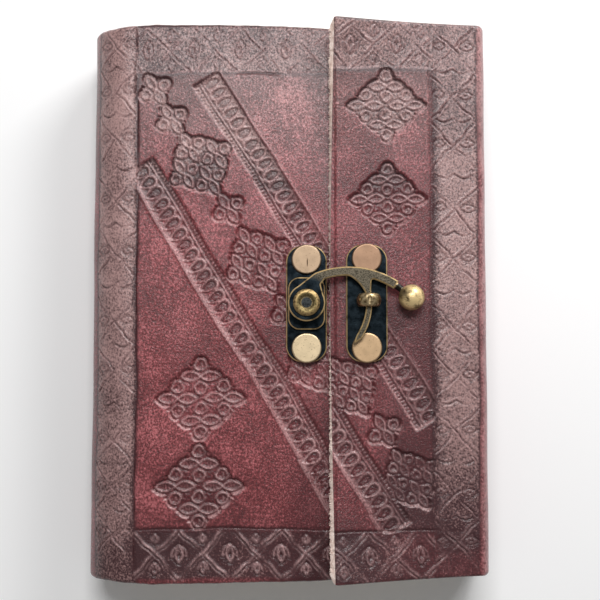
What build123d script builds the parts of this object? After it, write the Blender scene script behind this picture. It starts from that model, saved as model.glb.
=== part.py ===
"""Leather wrap diary with a swing-hook clasp, closed and latched, lying on its back cover.

Millimetres. X runs from the spine to the fore-edge, Y up the page, Z up from the back cover.
"""

import os
from math import acos, asin, cos, degrees, radians, sin, sqrt

from build123d import *

os.makedirs("parts", exist_ok=True)

# Leather wrap: front cover, rounded spine, back, fore-edge strip and flap
leather_t = 1.8
wrap_h = 158.0
wrap_w = 115.8
fold_r = 4.5  # outer radius of the two fore-edge folds
fold_relief = 0.3  # parting at a fold, where one panel ends and the next starts
flap_reach = 46.0  # from the fore-edge face to the flap's free edge
flap_corner_r = 2.5
cover_inset = 4.0  # front cover's free edge to the inside of the fore-edge strip

# Paper block, sewn in sections with a rounded back
page_h = 150.0
page_inset = 2.0  # pages stop short of the front cover's free edge
section_count = 6
section_t = 3.0
back_round = 6.2  # depth of the rounding over the whole back
leaf_names = ["leaf_4", "leaf_3", "leaf_2", "leaf_1", "front_flyleaf"]  # from below
leaf_t = 0.25
leaf_gap = 0.12
leaf_hinge_gap = 3.5  # loose part of a leaf starts this far from the shoulder
lining_t = 0.3
lining_margin = 2.5
thread_d = 0.8
thread_fit = 0.1
cloth_t = 0.4
cloth_margin = 12.0
cloth_half = 6.0
back_hollow = 1.8
station_pitch = 38.0
station_count = 4

# Double-cap rivets
rivet_pitch = 25.2
rivet_head_r = 4.3
rivet_head_t = 0.8
rivet_edge_r = 0.5
rivet_shank_r = 1.5
rivet_core_r = 0.8
rivet_cap_r = 4.0
rivet_cap_t = 0.6
cap_clear = 0.2
hole_fit = 0.05

# Clasp plates
clasp_y = -1.6  # the clasp sits a little below mid height
plate_w = 11.6
plate_h = 33.2
plate_t = 1.0
plate_corner_r = 4.6
plate_edge = 0.3
plate_gap = 0.7  # pivot plate to the flap's free edge
eye_shift = 0.485  # eye off the catch plate's middle, so the plate follows the spike
pad_w = 10.4
pad_h = 14.8
pad_t = 1.6
pad_corner_r = 3.2
collar_r = 4.4
pivot_r = 1.8
pivot_head_r = 3.75
pivot_head_t = 1.0
pivot_rim_t = 0.55
dimple_r = 1.7
dimple_depth = 0.6
running_fit = 0.06
axial_fit = 0.06

# Swing hook, in plan about its pivot: an arched arm with a hanging spike and a ball
hook_t = 2.0
hook_clear = 0.2  # over the rivet heads on the flap
hook_edge = 0.35
ring_r = 5.2
arm_w = 2.5
arm_arc_x = 11.8
arm_arc_y = -15.45
arm_arc_r = 24.3
arm_start = 112.0
arm_end = 57.0
ball_at = 43.9
ball_r = 3.65
ball_clear = 0.3
neck_r = 0.95
spike_r = 17.5
spike_w = 1.7
spike_root = 21.0
spike_shoulder = -33.0
spike_tip = -41.5
root_out = 128.2  # where the arm's outer edge leaves the ring
root_in = 14.75  # and its inner edge
root_tuck = 0.1  # both start just inside the ring
root_round = 4.0
notch_at = 52.5  # corner between the ring and the arm's underside
notch_r = 6.45
notch_arm = 103.0
notch_round = 0.6
web_in = 13.0  # gusset between the arm and the spike, bowed on its inner side
web_out = 4.7
web_side = -0.6  # across the arm, where the bowed side starts
web_bow = 0.8153
web_spike = 7.6
web_out_spike = 9.0
web_tuck = 0.17
web_round = 3.0

# Catch loop: an oval bar bent into an eye over the spike
eye_at = 2.4
eye_clear = 0.45
eye_lift = 0.3
bar_half_w = 1.05
bar_half_d = 1.9
cleft_r = 0.9
cleft_depth = 0.3

# Levels from the table up
z_block = leather_t + lining_t
z_leaves = z_block + section_count * section_t
leaf_pitch = leaf_t + leaf_gap
z_front_caps = z_leaves + len(leaf_names) * leaf_pitch + cap_clear
z_front_lining = z_front_caps + rivet_cap_t
z_front_in = z_front_lining + lining_t
z_front = z_front_in + leather_t
z_flap_caps = z_front + cap_clear
z_flap_in = z_flap_caps + rivet_cap_t
z_flap = z_flap_in + leather_t
z_catch = z_flap + plate_t
z_hook = z_catch + rivet_head_t + hook_clear
z_hook_top = z_hook + hook_t
z_ball = z_flap + ball_clear + ball_r
z_top_fold = z_flap - fold_r

# Stations from the spine to the fore-edge
spine_r = z_front / 2
x_left = -wrap_w / 2
x_right = wrap_w / 2
x_shoulder = x_left + spine_r
x_fold = x_right - fold_r
x_flap_edge = x_right - flap_reach
x_front_edge = x_right - leather_t - cover_inset
x_page_edge = x_front_edge - page_inset
x_pivot = x_flap_edge - plate_gap - plate_w / 2
x_eye = x_pivot + spike_r * cos(radians(eye_at))
y_eye = clasp_y + spike_r * sin(radians(eye_at))
x_catch = x_eye - eye_shift

rivet_ys = [clasp_y - rivet_pitch / 2, clasp_y + rivet_pitch / 2]
hole_r = rivet_shank_r + hole_fit


def panel(x0, x1, depth, z0, z1):
    """Lay a flat rectangle of leather or paper into the part being built."""
    with BuildSketch(Plane.XY.offset(z0)) as face:
        with Locations(((x0 + x1) / 2, 0)):
            Rectangle(x1 - x0, depth)
    extrude(face.sketch, amount=z1 - z0)


def bore(x, ys, radius, z0, z1):
    """Drill upright round holes through the part being built."""
    with BuildSketch(Plane.XY.offset(z0)) as face:
        with Locations(*[(x, y) for y in ys]):
            Circle(radius)
    extrude(face.sketch, amount=z1 - z0, mode=Mode.SUBTRACT)


def fold(x, z, quarter_x, quarter_z):
    """Bend leather a quarter turn about (x, z), towards the given quarter."""
    with BuildSketch(Plane.XZ) as face:
        with Locations((x, z)):
            Circle(fold_r)
            Circle(fold_r - leather_t, mode=Mode.SUBTRACT)
        with Locations((x + quarter_x * fold_r / 2, z + quarter_z * fold_r / 2)):
            Rectangle(fold_r, fold_r, mode=Mode.INTERSECT)
    extrude(face.sketch, amount=wrap_h / 2, both=True)


def rivet_heads(x, z_seat, grip):
    """Set headed tubes with their heads on z_seat, reaching down through the grip."""
    for y in rivet_ys:
        with BuildSketch(Plane.XY.offset(z_seat)) as disc:
            with Locations((x, y)):
                Circle(rivet_head_r)
        head = extrude(disc.sketch, amount=rivet_head_t)
        fillet(head.faces().sort_by(Axis.Z)[-1].edges(), rivet_edge_r)
        with BuildSketch(Plane.XY.offset(z_seat - grip)) as tube:
            with Locations((x, y)):
                Circle(rivet_shank_r)
                Circle(rivet_core_r, mode=Mode.SUBTRACT)
        extrude(tube.sketch, amount=grip)


def rivet_caps(x, z_face, grip):
    """Set flat caps whose top faces lie on z_face, with cores reaching up into the heads."""
    core_r = rivet_core_r - hole_fit
    for y in rivet_ys:
        with BuildSketch(Plane.XY.offset(z_face - rivet_cap_t)) as disc:
            with Locations((x, y)):
                Circle(rivet_cap_r)
        extrude(disc.sketch, amount=rivet_cap_t)
        with BuildSketch(Plane.XY.offset(z_face)) as core:
            with Locations((x, y)):
                Circle(core_r)
        extrude(core.sketch, amount=grip * 0.75)


def arm_point(angle, side=0):
    """Give a point in plan on the arm's centre line, or on one of its edges (side 1 or -1)."""
    radius = arm_arc_r + side * arm_w / 2
    return (
        x_pivot + arm_arc_x + radius * cos(radians(angle)),
        clasp_y + arm_arc_y + radius * sin(radians(angle)),
    )


def spike_point(angle, radius=spike_r):
    """Give a point about the pivot in plan, on the spike's arc unless a radius is given."""
    return (
        x_pivot + radius * cos(radians(angle)),
        clasp_y + radius * sin(radians(angle)),
    )


def save(piece, name):
    """Label one sub-part and write it out."""
    piece.part.label = name
    export_step(piece.part, f"parts/{name}.step")


# Back of the wrap, with the lower fore-edge fold
with BuildPart() as back_cover_leather:
    panel(x_shoulder, x_fold, wrap_h, 0, leather_t)
    fold(x_fold, fold_r, 1, -1)
save(back_cover_leather, "back_cover_leather")

# Rounded spine, half a tube between the two covers
with BuildPart() as spine_leather:
    with BuildSketch(Plane.XZ):
        with Locations((x_shoulder, spine_r)):
            Circle(spine_r)
            Circle(spine_r - leather_t, mode=Mode.SUBTRACT)
        with Locations((x_shoulder - spine_r / 2, spine_r)):
            Rectangle(spine_r, 2 * spine_r, mode=Mode.INTERSECT)
    extrude(amount=wrap_h / 2, both=True)
save(spine_leather, "spine_leather")

# Front cover, pierced for the pivot plate's rivets
with BuildPart() as front_cover_leather:
    panel(x_shoulder, x_front_edge, wrap_h, z_front_in, z_front)
    bore(x_pivot, rivet_ys, hole_r, z_front_in, z_front)
save(front_cover_leather, "front_cover_leather")

# Fore-edge strip, with the upper fold
with BuildPart() as fore_edge_leather:
    panel(x_right - leather_t, x_right, wrap_h, fold_r + fold_relief, z_top_fold)
    fold(x_fold, z_top_fold, 1, 1)
save(fore_edge_leather, "fore_edge_leather")

# Flap over the front cover, pierced for the catch plate's rivets
with BuildPart() as flap_leather:
    panel(x_flap_edge, x_fold - fold_relief, wrap_h, z_flap_in, z_flap)
    fillet(flap_leather.edges().filter_by(Axis.Z).group_by(Axis.X)[0], flap_corner_r)
    bore(x_catch, rivet_ys, hole_r, z_flap_in, z_flap)
save(flap_leather, "flap_leather")

# Linings pasted inside the covers
with BuildPart() as back_lining:
    panel(x_shoulder, x_front_edge - lining_margin, wrap_h - 2 * lining_margin, leather_t, z_block)
save(back_lining, "back_lining")

with BuildPart() as front_lining:
    panel(
        x_shoulder + lining_margin,
        x_front_edge - lining_margin,
        wrap_h - 2 * lining_margin,
        z_front_lining,
        z_front_in,
    )
    bore(x_pivot, rivet_ys, hole_r, z_front_lining, z_front_in)
save(front_lining, "front_lining")

# Sections, their folds set along the rounded back
half_block = section_count * section_t / 2
section_round = section_t / 2
block_r = (half_block**2 + back_round**2) / (2 * back_round)
x_back = x_left + leather_t + back_hollow + cloth_t + thread_d + 2 * thread_fit
x_round = x_back + block_r
z_round = z_block + half_block
for i in range(section_count):
    z_mid = z_block + (i + 0.5) * section_t
    reach = sqrt((block_r - section_round) ** 2 - (z_mid - z_round) ** 2)
    x_end = x_round - reach
    with BuildPart() as section:
        with BuildSketch(Plane.XZ):
            with Locations(((x_end + x_page_edge) / 2, z_mid)):
                Rectangle(x_page_edge - x_end, section_t)
            with Locations((x_end, z_mid)):
                Circle(section_round)
        extrude(amount=page_h / 2, both=True)
    save(section, f"section_{i + 1}")

# Loose leaves on top of the sections
for i, name in enumerate(leaf_names):
    z_leaf = z_leaves + leaf_gap + i * leaf_pitch
    with BuildPart() as leaf:
        panel(x_shoulder + leaf_hinge_gap, x_page_edge, page_h, z_leaf, z_leaf + leaf_t)
    save(leaf, name)

# Sewing thread, one run over the section folds at each station
thread_arc_r = block_r + thread_fit + thread_d / 2
thread_span = asin((half_block - section_round) / thread_arc_r)
thread_start = Plane(
    origin=(x_round, 0, z_round),
    x_dir=(-cos(thread_span), 0, -sin(thread_span)),
    z_dir=(sin(thread_span), 0, -cos(thread_span)),
)
with BuildPart() as sewing_thread:
    with BuildSketch(thread_start):
        for i in range(station_count):
            with Locations((thread_arc_r, (i - (station_count - 1) / 2) * station_pitch)):
                Circle(thread_d / 2)
    revolve(
        axis=Axis((x_round, 0, z_round), (0, 1, 0)),
        revolution_arc=2 * degrees(thread_span),
    )
save(sewing_thread, "sewing_thread")

# Cloth lining over the sewn back
cloth_r = block_r + thread_d + 2 * thread_fit
with BuildPart() as spine_cloth:
    with BuildSketch(Plane.XZ):
        with Locations((x_round, z_round)):
            Circle(cloth_r + cloth_t)
            Circle(cloth_r, mode=Mode.SUBTRACT)
        with Locations((x_round - cloth_r, z_round)):
            Rectangle(2 * cloth_r, 2 * cloth_half, mode=Mode.INTERSECT)
    extrude(amount=page_h / 2 - cloth_margin, both=True)
save(spine_cloth, "spine_cloth")

# Pivot plate: base plate, pad and collar in one casting
with BuildPart() as pivot_plate:
    with BuildSketch(Plane.XY.offset(z_front)):
        with Locations((x_pivot, clasp_y)):
            RectangleRounded(plate_w, plate_h, plate_corner_r)
    extrude(amount=plate_t)
    chamfer(pivot_plate.faces().sort_by(Axis.Z)[-1].edges(), plate_edge)
    with BuildSketch(Plane.XY.offset(z_front + plate_t)):
        with Locations((x_pivot, clasp_y)):
            RectangleRounded(pad_w, pad_h, pad_corner_r)
    extrude(amount=pad_t)
    chamfer(pivot_plate.faces().sort_by(Axis.Z)[-1].edges(), plate_edge)
    with BuildSketch(Plane.XY.offset(z_front + plate_t + pad_t)):
        with Locations((x_pivot, clasp_y)):
            Circle(collar_r)
    extrude(amount=z_hook - axial_fit - z_front - plate_t - pad_t)
    bore(x_pivot, [clasp_y], pivot_r + hole_fit, z_front, z_hook)
    bore(x_pivot, rivet_ys, hole_r, z_front, z_front + plate_t)
save(pivot_plate, "pivot_plate")

# Pivot rivet, its rolled head dimpled in the middle
z_head = z_hook_top + axial_fit
with BuildPart() as pivot_rivet:
    with BuildSketch(Plane.XZ.offset(-clasp_y)):
        with BuildLine():
            Polyline(
                (x_pivot, z_front),
                (x_pivot + pivot_r, z_front),
                (x_pivot + pivot_r, z_head),
                (x_pivot + pivot_head_r, z_head),
                (x_pivot + pivot_head_r, z_head + pivot_rim_t),
            )
            ThreePointArc(
                (x_pivot + pivot_head_r, z_head + pivot_rim_t),
                (x_pivot + (pivot_head_r + dimple_r) / 2, z_head + pivot_head_t),
                (x_pivot + dimple_r, z_head + pivot_rim_t),
            )
            Polyline(
                (x_pivot + dimple_r, z_head + pivot_rim_t),
                (x_pivot + dimple_r, z_head + pivot_head_t - dimple_depth),
                (x_pivot, z_head + pivot_head_t - dimple_depth),
                (x_pivot, z_front),
            )
        make_face()
    revolve(axis=Axis((x_pivot, clasp_y, 0), (0, 0, 1)))
save(pivot_rivet, "pivot_rivet")

# Swing hook: ring, arched arm, hanging spike, neck and ball
x_ball, y_ball = arm_point(ball_at)
x_neck, y_neck = arm_point(arm_end)
neck = Vector(x_ball - x_neck, y_ball - y_neck, z_ball - z_hook - hook_t / 2)
over_spike = degrees(acos((spike_r * cos(radians(spike_root)) - arm_arc_x) / arm_arc_r))
with BuildPart() as swing_hook:
    with BuildSketch(Plane.XY.offset(z_hook)) as outline:
        with Locations((x_pivot, clasp_y)):
            Circle(ring_r)
        with BuildLine():
            ThreePointArc(arm_point(arm_start), arm_point(over_spike), arm_point(arm_end))
        trace(line_width=arm_w)
        with BuildLine():
            ThreePointArc(spike_point(spike_root), spike_point(0), spike_point(spike_shoulder))
        trace(line_width=spike_w)
        with BuildLine():
            Polyline(
                spike_point(spike_shoulder, spike_r - spike_w / 2),
                spike_point(spike_shoulder, spike_r + spike_w / 2),
                spike_point(spike_tip),
                close=True,
            )
        make_face()
        with BuildLine():
            SagittaArc(
                arm_point(over_spike + web_in, web_side),
                spike_point(web_spike, spike_r - spike_w / 2 + web_tuck),
                web_bow,
            )
            Polyline(
                spike_point(web_spike, spike_r - spike_w / 2 + web_tuck),
                spike_point(web_out_spike, spike_r + spike_w / 2 - web_tuck),
                arm_point(over_spike - web_out),
                arm_point(over_spike + web_in),
                arm_point(over_spike + web_in, web_side),
            )
        make_face()
        with BuildLine():
            Polyline(
                spike_point(root_out, ring_r - root_tuck),
                arm_point(arm_start, 1),
                arm_point(notch_arm),
                spike_point(notch_at, notch_r),
                spike_point(root_in, ring_r - root_tuck),
                (x_pivot, clasp_y),
                close=True,
            )
        make_face()
        for corner, radius in [
            (spike_point(notch_at, notch_r), notch_round),
            (arm_point(arm_start, 1), root_round),
            (arm_point(over_spike - web_out, -1), notch_round),
            (arm_point(over_spike + web_in, -1), web_round),
        ]:
            fillet(outline.vertices().sort_by_distance(corner)[0], radius)
    extrude(amount=hook_t)
    chamfer(swing_hook.faces().sort_by(Axis.Z)[-1].edges(), hook_edge)
    bore(x_pivot, [clasp_y], pivot_r + running_fit, z_hook, z_hook_top)
    with BuildSketch(Plane(origin=(x_neck, y_neck, z_hook + hook_t / 2), z_dir=neck)):
        Circle(neck_r)
    extrude(amount=neck.length)
    with Locations((x_ball, y_ball, z_ball)):
        Sphere(ball_r)
save(swing_hook, "swing_hook")

# Catch plate on the flap
with BuildPart() as catch_plate:
    with BuildSketch(Plane.XY.offset(z_flap)):
        with Locations((x_catch, clasp_y)):
            RectangleRounded(plate_w, plate_h, plate_corner_r)
    extrude(amount=plate_t)
    chamfer(catch_plate.faces().sort_by(Axis.Z)[-1].edges(), plate_edge)
    bore(x_catch, rivet_ys, hole_r, z_flap, z_catch)
    with BuildSketch(Plane.XY.offset(z_flap)):
        for side in [-1, 1]:
            with Locations((x_eye + side * (spike_w / 2 + eye_clear + bar_half_w), y_eye)):
                Ellipse(bar_half_w + hole_fit, bar_half_d + hole_fit)
    extrude(amount=plate_t, mode=Mode.SUBTRACT)
save(catch_plate, "catch_plate")

# Catch loop, its two legs set through the plate
eye_half = spike_w / 2 + eye_clear
eye_r = eye_half + bar_half_w
z_eye = z_hook_top + eye_lift - eye_half
with BuildPart() as catch_loop:
    with BuildSketch(Plane.XY.offset(z_flap)):
        for side in [-1, 1]:
            with Locations((x_eye + side * eye_r, y_eye)):
                Ellipse(bar_half_w, bar_half_d)
    extrude(amount=z_eye - z_flap)
    with BuildSketch(Plane.XY.offset(z_eye)):
        with Locations((x_eye + eye_r, y_eye)):
            Ellipse(bar_half_w, bar_half_d)
    revolve(axis=Axis((x_eye, y_eye, z_eye), (0, -1, 0)), revolution_arc=180)
    with BuildSketch(Plane.XZ.offset(-y_eye)):
        with Locations((x_eye, z_eye + eye_r + bar_half_w + cleft_r - cleft_depth)):
            Circle(cleft_r)
    extrude(amount=bar_half_d, both=True, mode=Mode.SUBTRACT)
save(catch_loop, "catch_loop")

# Rivets through the pivot plate and front cover
front_grip = plate_t + leather_t + lining_t
with BuildPart() as front_rivet_heads:
    rivet_heads(x_pivot, z_front + plate_t, front_grip)
save(front_rivet_heads, "front_rivet_heads")

with BuildPart() as front_rivet_caps:
    rivet_caps(x_pivot, z_front_lining, front_grip)
save(front_rivet_caps, "front_rivet_caps")

# Rivets through the catch plate and flap
flap_grip = plate_t + leather_t
with BuildPart() as flap_rivet_heads:
    rivet_heads(x_catch, z_catch, flap_grip)
save(flap_rivet_heads, "flap_rivet_heads")

with BuildPart() as flap_rivet_caps:
    rivet_caps(x_catch, z_flap_in, flap_grip)
save(flap_rivet_caps, "flap_rivet_caps")
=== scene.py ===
# %% [markdown]
# # A leather wrap diary with a swing-hook clasp
# One strip of burgundy leather goes round a block of sewn paper. It starts as the front cover, turns round the
# back of the pages as a soft spine, runs under them as the back, climbs the fore-edge and comes over the front as
# a flap. An antique bronze swing hook keeps the flap shut.
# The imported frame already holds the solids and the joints. Here the leather, paper, thread and cloth get their
# own meshes, and the metal of the clasp keeps its solids and gets its finish.

# %% Frame and units
import math
import random

import bpy
import numpy as np
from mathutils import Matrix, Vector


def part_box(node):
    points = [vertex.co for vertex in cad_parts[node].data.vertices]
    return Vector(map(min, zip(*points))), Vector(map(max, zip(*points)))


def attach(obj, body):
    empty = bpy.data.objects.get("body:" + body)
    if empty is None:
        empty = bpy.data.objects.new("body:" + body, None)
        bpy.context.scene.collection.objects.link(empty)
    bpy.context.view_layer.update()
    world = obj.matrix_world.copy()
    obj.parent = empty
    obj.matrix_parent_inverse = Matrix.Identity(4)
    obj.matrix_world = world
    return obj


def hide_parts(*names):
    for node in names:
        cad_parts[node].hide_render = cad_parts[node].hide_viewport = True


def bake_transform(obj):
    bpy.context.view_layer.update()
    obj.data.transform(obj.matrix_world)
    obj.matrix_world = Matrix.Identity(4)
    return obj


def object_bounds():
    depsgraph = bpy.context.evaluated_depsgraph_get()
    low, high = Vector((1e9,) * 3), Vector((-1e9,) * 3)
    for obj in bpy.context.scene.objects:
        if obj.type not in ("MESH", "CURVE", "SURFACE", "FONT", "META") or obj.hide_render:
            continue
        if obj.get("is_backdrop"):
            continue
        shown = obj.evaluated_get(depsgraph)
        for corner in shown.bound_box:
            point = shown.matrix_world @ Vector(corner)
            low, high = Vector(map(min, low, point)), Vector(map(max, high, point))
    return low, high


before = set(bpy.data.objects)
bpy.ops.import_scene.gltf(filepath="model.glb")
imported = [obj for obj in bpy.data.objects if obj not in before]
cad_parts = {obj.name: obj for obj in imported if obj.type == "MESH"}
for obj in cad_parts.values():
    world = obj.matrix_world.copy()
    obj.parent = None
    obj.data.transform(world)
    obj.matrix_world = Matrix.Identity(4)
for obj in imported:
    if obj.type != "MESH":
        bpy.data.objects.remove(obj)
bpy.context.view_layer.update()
scene = bpy.context.scene
scene.view_settings.view_transform = "Standard"
MM = 0.001

# %% [markdown]
# ## Camera
# The diary lies on its back and is seen from above its middle, a little from the foot of the page. The height, the
# small tilt and the focal length come from fitting the corners of the clasp plates, the covers and the flap.

# %% Camera
photo_width = 600
focal_pixels = 1035.9
camera_place = (4.98, -18.66, 320.0)
camera_turn = (3.522, 0.280, -0.015)
lens = bpy.data.cameras.new("camera")
lens.sensor_width = 36.0
lens.lens = lens.sensor_width * focal_pixels / photo_width
camera = bpy.data.objects.new("camera", lens)
scene.collection.objects.link(camera)
camera.location = [v * MM for v in camera_place]
camera.rotation_mode = "ZXY"
camera.rotation_euler = [math.radians(v) for v in camera_turn]
scene.camera = camera
print("camera with a lens of", round(lens.lens, 2), "mm")

# %% [markdown]
# ## Materials
# Colours are written as they would be picked from a picture and turned to linear light by one function. A second
# function adds a node, sets it and links it, so that a material reads from top to bottom as its own recipe.


# %% Colours and nodes
def linear(colour):
    """A written colour as linear light"""
    parts = [int(colour[i : i + 2], 16) / 255 for i in (1, 3, 5)]
    return [p / 12.92 if p <= 0.04045 else ((p + 0.055) / 1.055) ** 2.4 for p in parts] + [1.0]


def node(tree, kind, sockets=None, **settings):
    """One shader node: its settings, then the value or the link of each socket"""
    made = tree.nodes.new("ShaderNode" + kind)
    for name, value in settings.items():
        setattr(made, name, value)
    for name, value in (sockets or {}).items():
        if isinstance(value, bpy.types.NodeSocket):
            tree.links.new(value, made.inputs[name])
        else:
            made.inputs[name].default_value = value
    return made


def new_finish(name):
    """A new material with its node tree and its shader"""
    made = bpy.data.materials.new(name)
    made.use_nodes = True
    tree = made.node_tree
    return made, tree, tree.nodes["Principled BSDF"]


def per_metre(millimetres):
    """How often a pattern of this size comes in a metre"""
    return 1 / (millimetres * MM)


print("a middle grey is", round(linear("#808080")[0], 3), "in linear light")

# %% [markdown]
# ### Embossed leather
# Vegetable-tanned goat, dyed burgundy, pressed with hot stamps and rubbed with a dark grey wax. To the eye it is a
# speckled red, grey in the borders and pale on every raised line. A painted picture of the stamps would look flat
# from the side, so the tooling is real relief in the mesh. Each point of the mesh carries how much it lies on a
# crest, in a groove and under wax with its painted sheen, and the material reads that.
# First comes the dye: pale specks of about half a millimetre on a darker red, a little coarser than goat grain so
# that they show, with slow clouds in them. The pale specks are partly the grain's own tone and partly painted glints.
# Near the head a painted sheen greys the red.

# %% Dye of the leather
grain_size = 0.52
pore_size = 0.62
leather, tree, shader = new_finish("embossed_goat_leather")
place = node(tree, "TexCoord").outputs["Object"]
cloud = node(tree, "TexNoise", {"Vector": place, "Scale": per_metre(18), "Detail": 4.0, "Roughness": 0.65})
drawn = node(tree, "Mapping", {"Vector": place, "Scale": (1.0, 0.85, 1.0)})
speck = node(
    tree,
    "TexNoise",
    {"Vector": drawn.outputs["Vector"], "Scale": per_metre(grain_size), "Detail": 3.0, "Roughness": 0.65},
)
depth = node(tree, "Math", {0: cloud.outputs["Fac"], 1: 0.5, 2: speck.outputs["Fac"]}, operation="MULTIPLY_ADD")
dye_glint_share = node(tree, "MapRange", {"Value": depth.outputs["Value"], "From Max": 1.5})
dye_and_glints = node(tree, "ValToRGB", {"Fac": dye_glint_share.outputs["Result"]})
dye_and_glints.color_ramp.elements[0].position = 0.36
dye_and_glints.color_ramp.elements[0].color = linear("#4a1d21")
dye_and_glints.color_ramp.elements[1].position = 0.64
dye_and_glints.color_ramp.elements[1].color = linear("#c27074")
dye_and_glints.color_ramp.elements.new(0.50).color = linear("#733538")
# Painted sheen: the red is greyed towards the head.
head_side = node(tree, "SeparateXYZ", {"Vector": place}).outputs["Y"]
painted_sheen = node(tree, "MapRange", {"Value": head_side, "From Min": 33 * MM, "From Max": 62 * MM, "To Max": 0.6})
sheen_greyed_dye = node(
    tree,
    "MixRGB",
    {"Fac": painted_sheen.outputs["Result"], "Color1": dye_and_glints.outputs["Color"], "Color2": linear("#7c615f")},
    blend_type="COLOR",
)
print("leather with specks of", grain_size, "mm")

# %% [markdown]
# The wax stays in the stamped borders. A little of it makes them a dark brown, and much of it a dusty grey, which
# also stands for a painted sheen, strongest towards the head and in the middle of the flap's upright border. It is
# added to the same specks as the dye, so it breaks up with the grain and doesn't end in a smooth fade.

# %% Wax on the leather
tooling = node(tree, "Attribute", attribute_name="tooling").outputs["Color"]
tool = node(tree, "SeparateColor", {"Color": tooling}).outputs
dust_and_sheen = node(tree, "Math", {0: tool["Blue"], 1: 0.5, 2: depth.outputs["Value"]}, operation="MULTIPLY_ADD")
wax_sheen_share = node(tree, "MapRange", {"Value": dust_and_sheen.outputs["Value"], "From Max": 2.0})
wax_and_sheen = node(tree, "ValToRGB", {"Fac": wax_sheen_share.outputs["Result"]})
wax_and_sheen.color_ramp.elements[0].position = 0.50
wax_and_sheen.color_ramp.elements[0].color = linear("#40272a")
wax_and_sheen.color_ramp.elements[1].position = 0.665
wax_and_sheen.color_ramp.elements[1].color = linear("#b89591")
wax_sheen_cover = node(tree, "MapRange", {"Value": tool["Blue"], "From Min": 0.05, "From Max": 0.4, "To Max": 0.95})
waxed_and_sheened = node(
    tree,
    "MixRGB",
    {"Fac": wax_sheen_cover.outputs["Result"], "Color1": sheen_greyed_dye.outputs["Color"], "Color2": wax_and_sheen.outputs["Color"]},
)
print("wax on", leather.name)

# %% [markdown]
# The grooves beside the stamped lines are nearly black: dark cuts with painted shade in them, and the dark layer also
# carries painted shade on the floors and lee sides of the stamps. The crests are rubbed pale and carry a painted
# highlight, but not evenly: a slower pattern keeps some of the colour on them. The pores and the grain are too fine
# for the mesh, so they are bumps.

# %% Grooves, crests and grain
shadowed = node(
    tree,
    "MixRGB",
    {"Fac": tool["Green"], "Color1": waxed_and_sheened.outputs["Color"], "Color2": linear("#330f14")},
)
wear = node(tree, "TexNoise", {"Vector": place, "Scale": per_metre(6), "Detail": 3.0})
worn_through = node(
    tree,
    "Math",
    {0: wear.outputs["Fac"], 1: 0.6, 2: speck.outputs["Fac"]},
    operation="MULTIPLY_ADD",
)
bare = node(
    tree,
    "MapRange",
    {"Value": worn_through.outputs["Value"], "From Min": 0.62, "From Max": 0.95, "To Min": 0.15, "To Max": 0.85},
)
crest = node(tree, "Math", {0: tool["Red"], 1: bare.outputs["Result"]}, operation="MULTIPLY")
rubbed_and_highlit = node(
    tree,
    "MixRGB",
    {"Fac": crest.outputs["Value"], "Color1": shadowed.outputs["Color"], "Color2": linear("#cfa6a5")},
)
tree.links.new(rubbed_and_highlit.outputs["Color"], shader.inputs["Base Color"])
gloss = node(
    tree,
    "MapRange",
    {"Value": speck.outputs["Fac"], "From Min": 0.3, "From Max": 0.7, "To Min": 0.37, "To Max": 0.21},
)
tree.links.new(gloss.outputs["Result"], shader.inputs["Roughness"])
pores = node(
    tree,
    "TexVoronoi",
    {"Vector": place, "Scale": per_metre(pore_size), "Randomness": 1.0},
    feature="DISTANCE_TO_EDGE",
)
pore_rise = node(tree, "MapRange", {"Value": pores.outputs["Distance"], "From Max": 0.16})
pore_bump = node(
    tree,
    "Bump",
    {"Strength": 0.4, "Distance": 0.05 * MM, "Height": pore_rise.outputs["Result"]},
)
grain_bump = node(
    tree,
    "Bump",
    {"Strength": 0.8, "Distance": 0.12 * MM, "Height": speck.outputs["Fac"], "Normal": pore_bump.outputs["Normal"]},
)
tree.links.new(grain_bump.outputs["Normal"], shader.inputs["Normal"])
shader.inputs["IOR"].default_value = 1.5
print("made", leather.name, "with pores of", pore_size, "mm")

# %% [markdown]
# ### Split hide
# The flesh side and the cut edges of the same leather. They took no dye, so they are a pale pinkish cream, matt
# and fibrous, a little dirtier in the hollows between the fibres.

# %% Split hide
hide, tree, shader = new_finish("raw_split_hide")
place = node(tree, "TexCoord").outputs["Object"]
stretched = node(tree, "Mapping", {"Vector": place, "Scale": (1.0, 0.35, 1.0)})
fibre = node(
    tree,
    "TexNoise",
    {"Vector": stretched.outputs["Vector"], "Scale": per_metre(0.5), "Detail": 5.0, "Roughness": 0.7},
)
nap = node(tree, "TexNoise", {"Vector": place, "Scale": per_metre(9), "Detail": 3.0})
shade = node(tree, "ValToRGB", {"Fac": fibre.outputs["Fac"]})
shade.color_ramp.elements[0].position = 0.30
shade.color_ramp.elements[0].color = linear("#c2a79c")
shade.color_ramp.elements[1].position = 0.62
shade.color_ramp.elements[1].color = linear("#f6ebe4")
worn = node(
    tree,
    "MixRGB",
    {"Fac": nap.outputs["Fac"], "Color1": shade.outputs["Color"], "Color2": linear("#ecd8ce")},
    blend_type="MULTIPLY",
)
tree.links.new(worn.outputs["Color"], shader.inputs["Base Color"])
fuzz = node(tree, "Bump", {"Strength": 0.8, "Distance": 0.2 * MM, "Height": fibre.outputs["Fac"]})
tree.links.new(fuzz.outputs["Normal"], shader.inputs["Normal"])
shader.inputs["Roughness"].default_value = 0.95
shader.inputs["Sheen Weight"].default_value = 0.2
print("made", hide.name)

# %% [markdown]
# ## The leather strip
# Seen from the end, the outer face of the strip is a chain of straight runs and arcs. A point on it needs two
# numbers: how far along the strip it lies, and where it is between foot and head. One function turns the first
# number into a place and an outward direction, so all the stretches of leather meet without a step.

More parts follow.
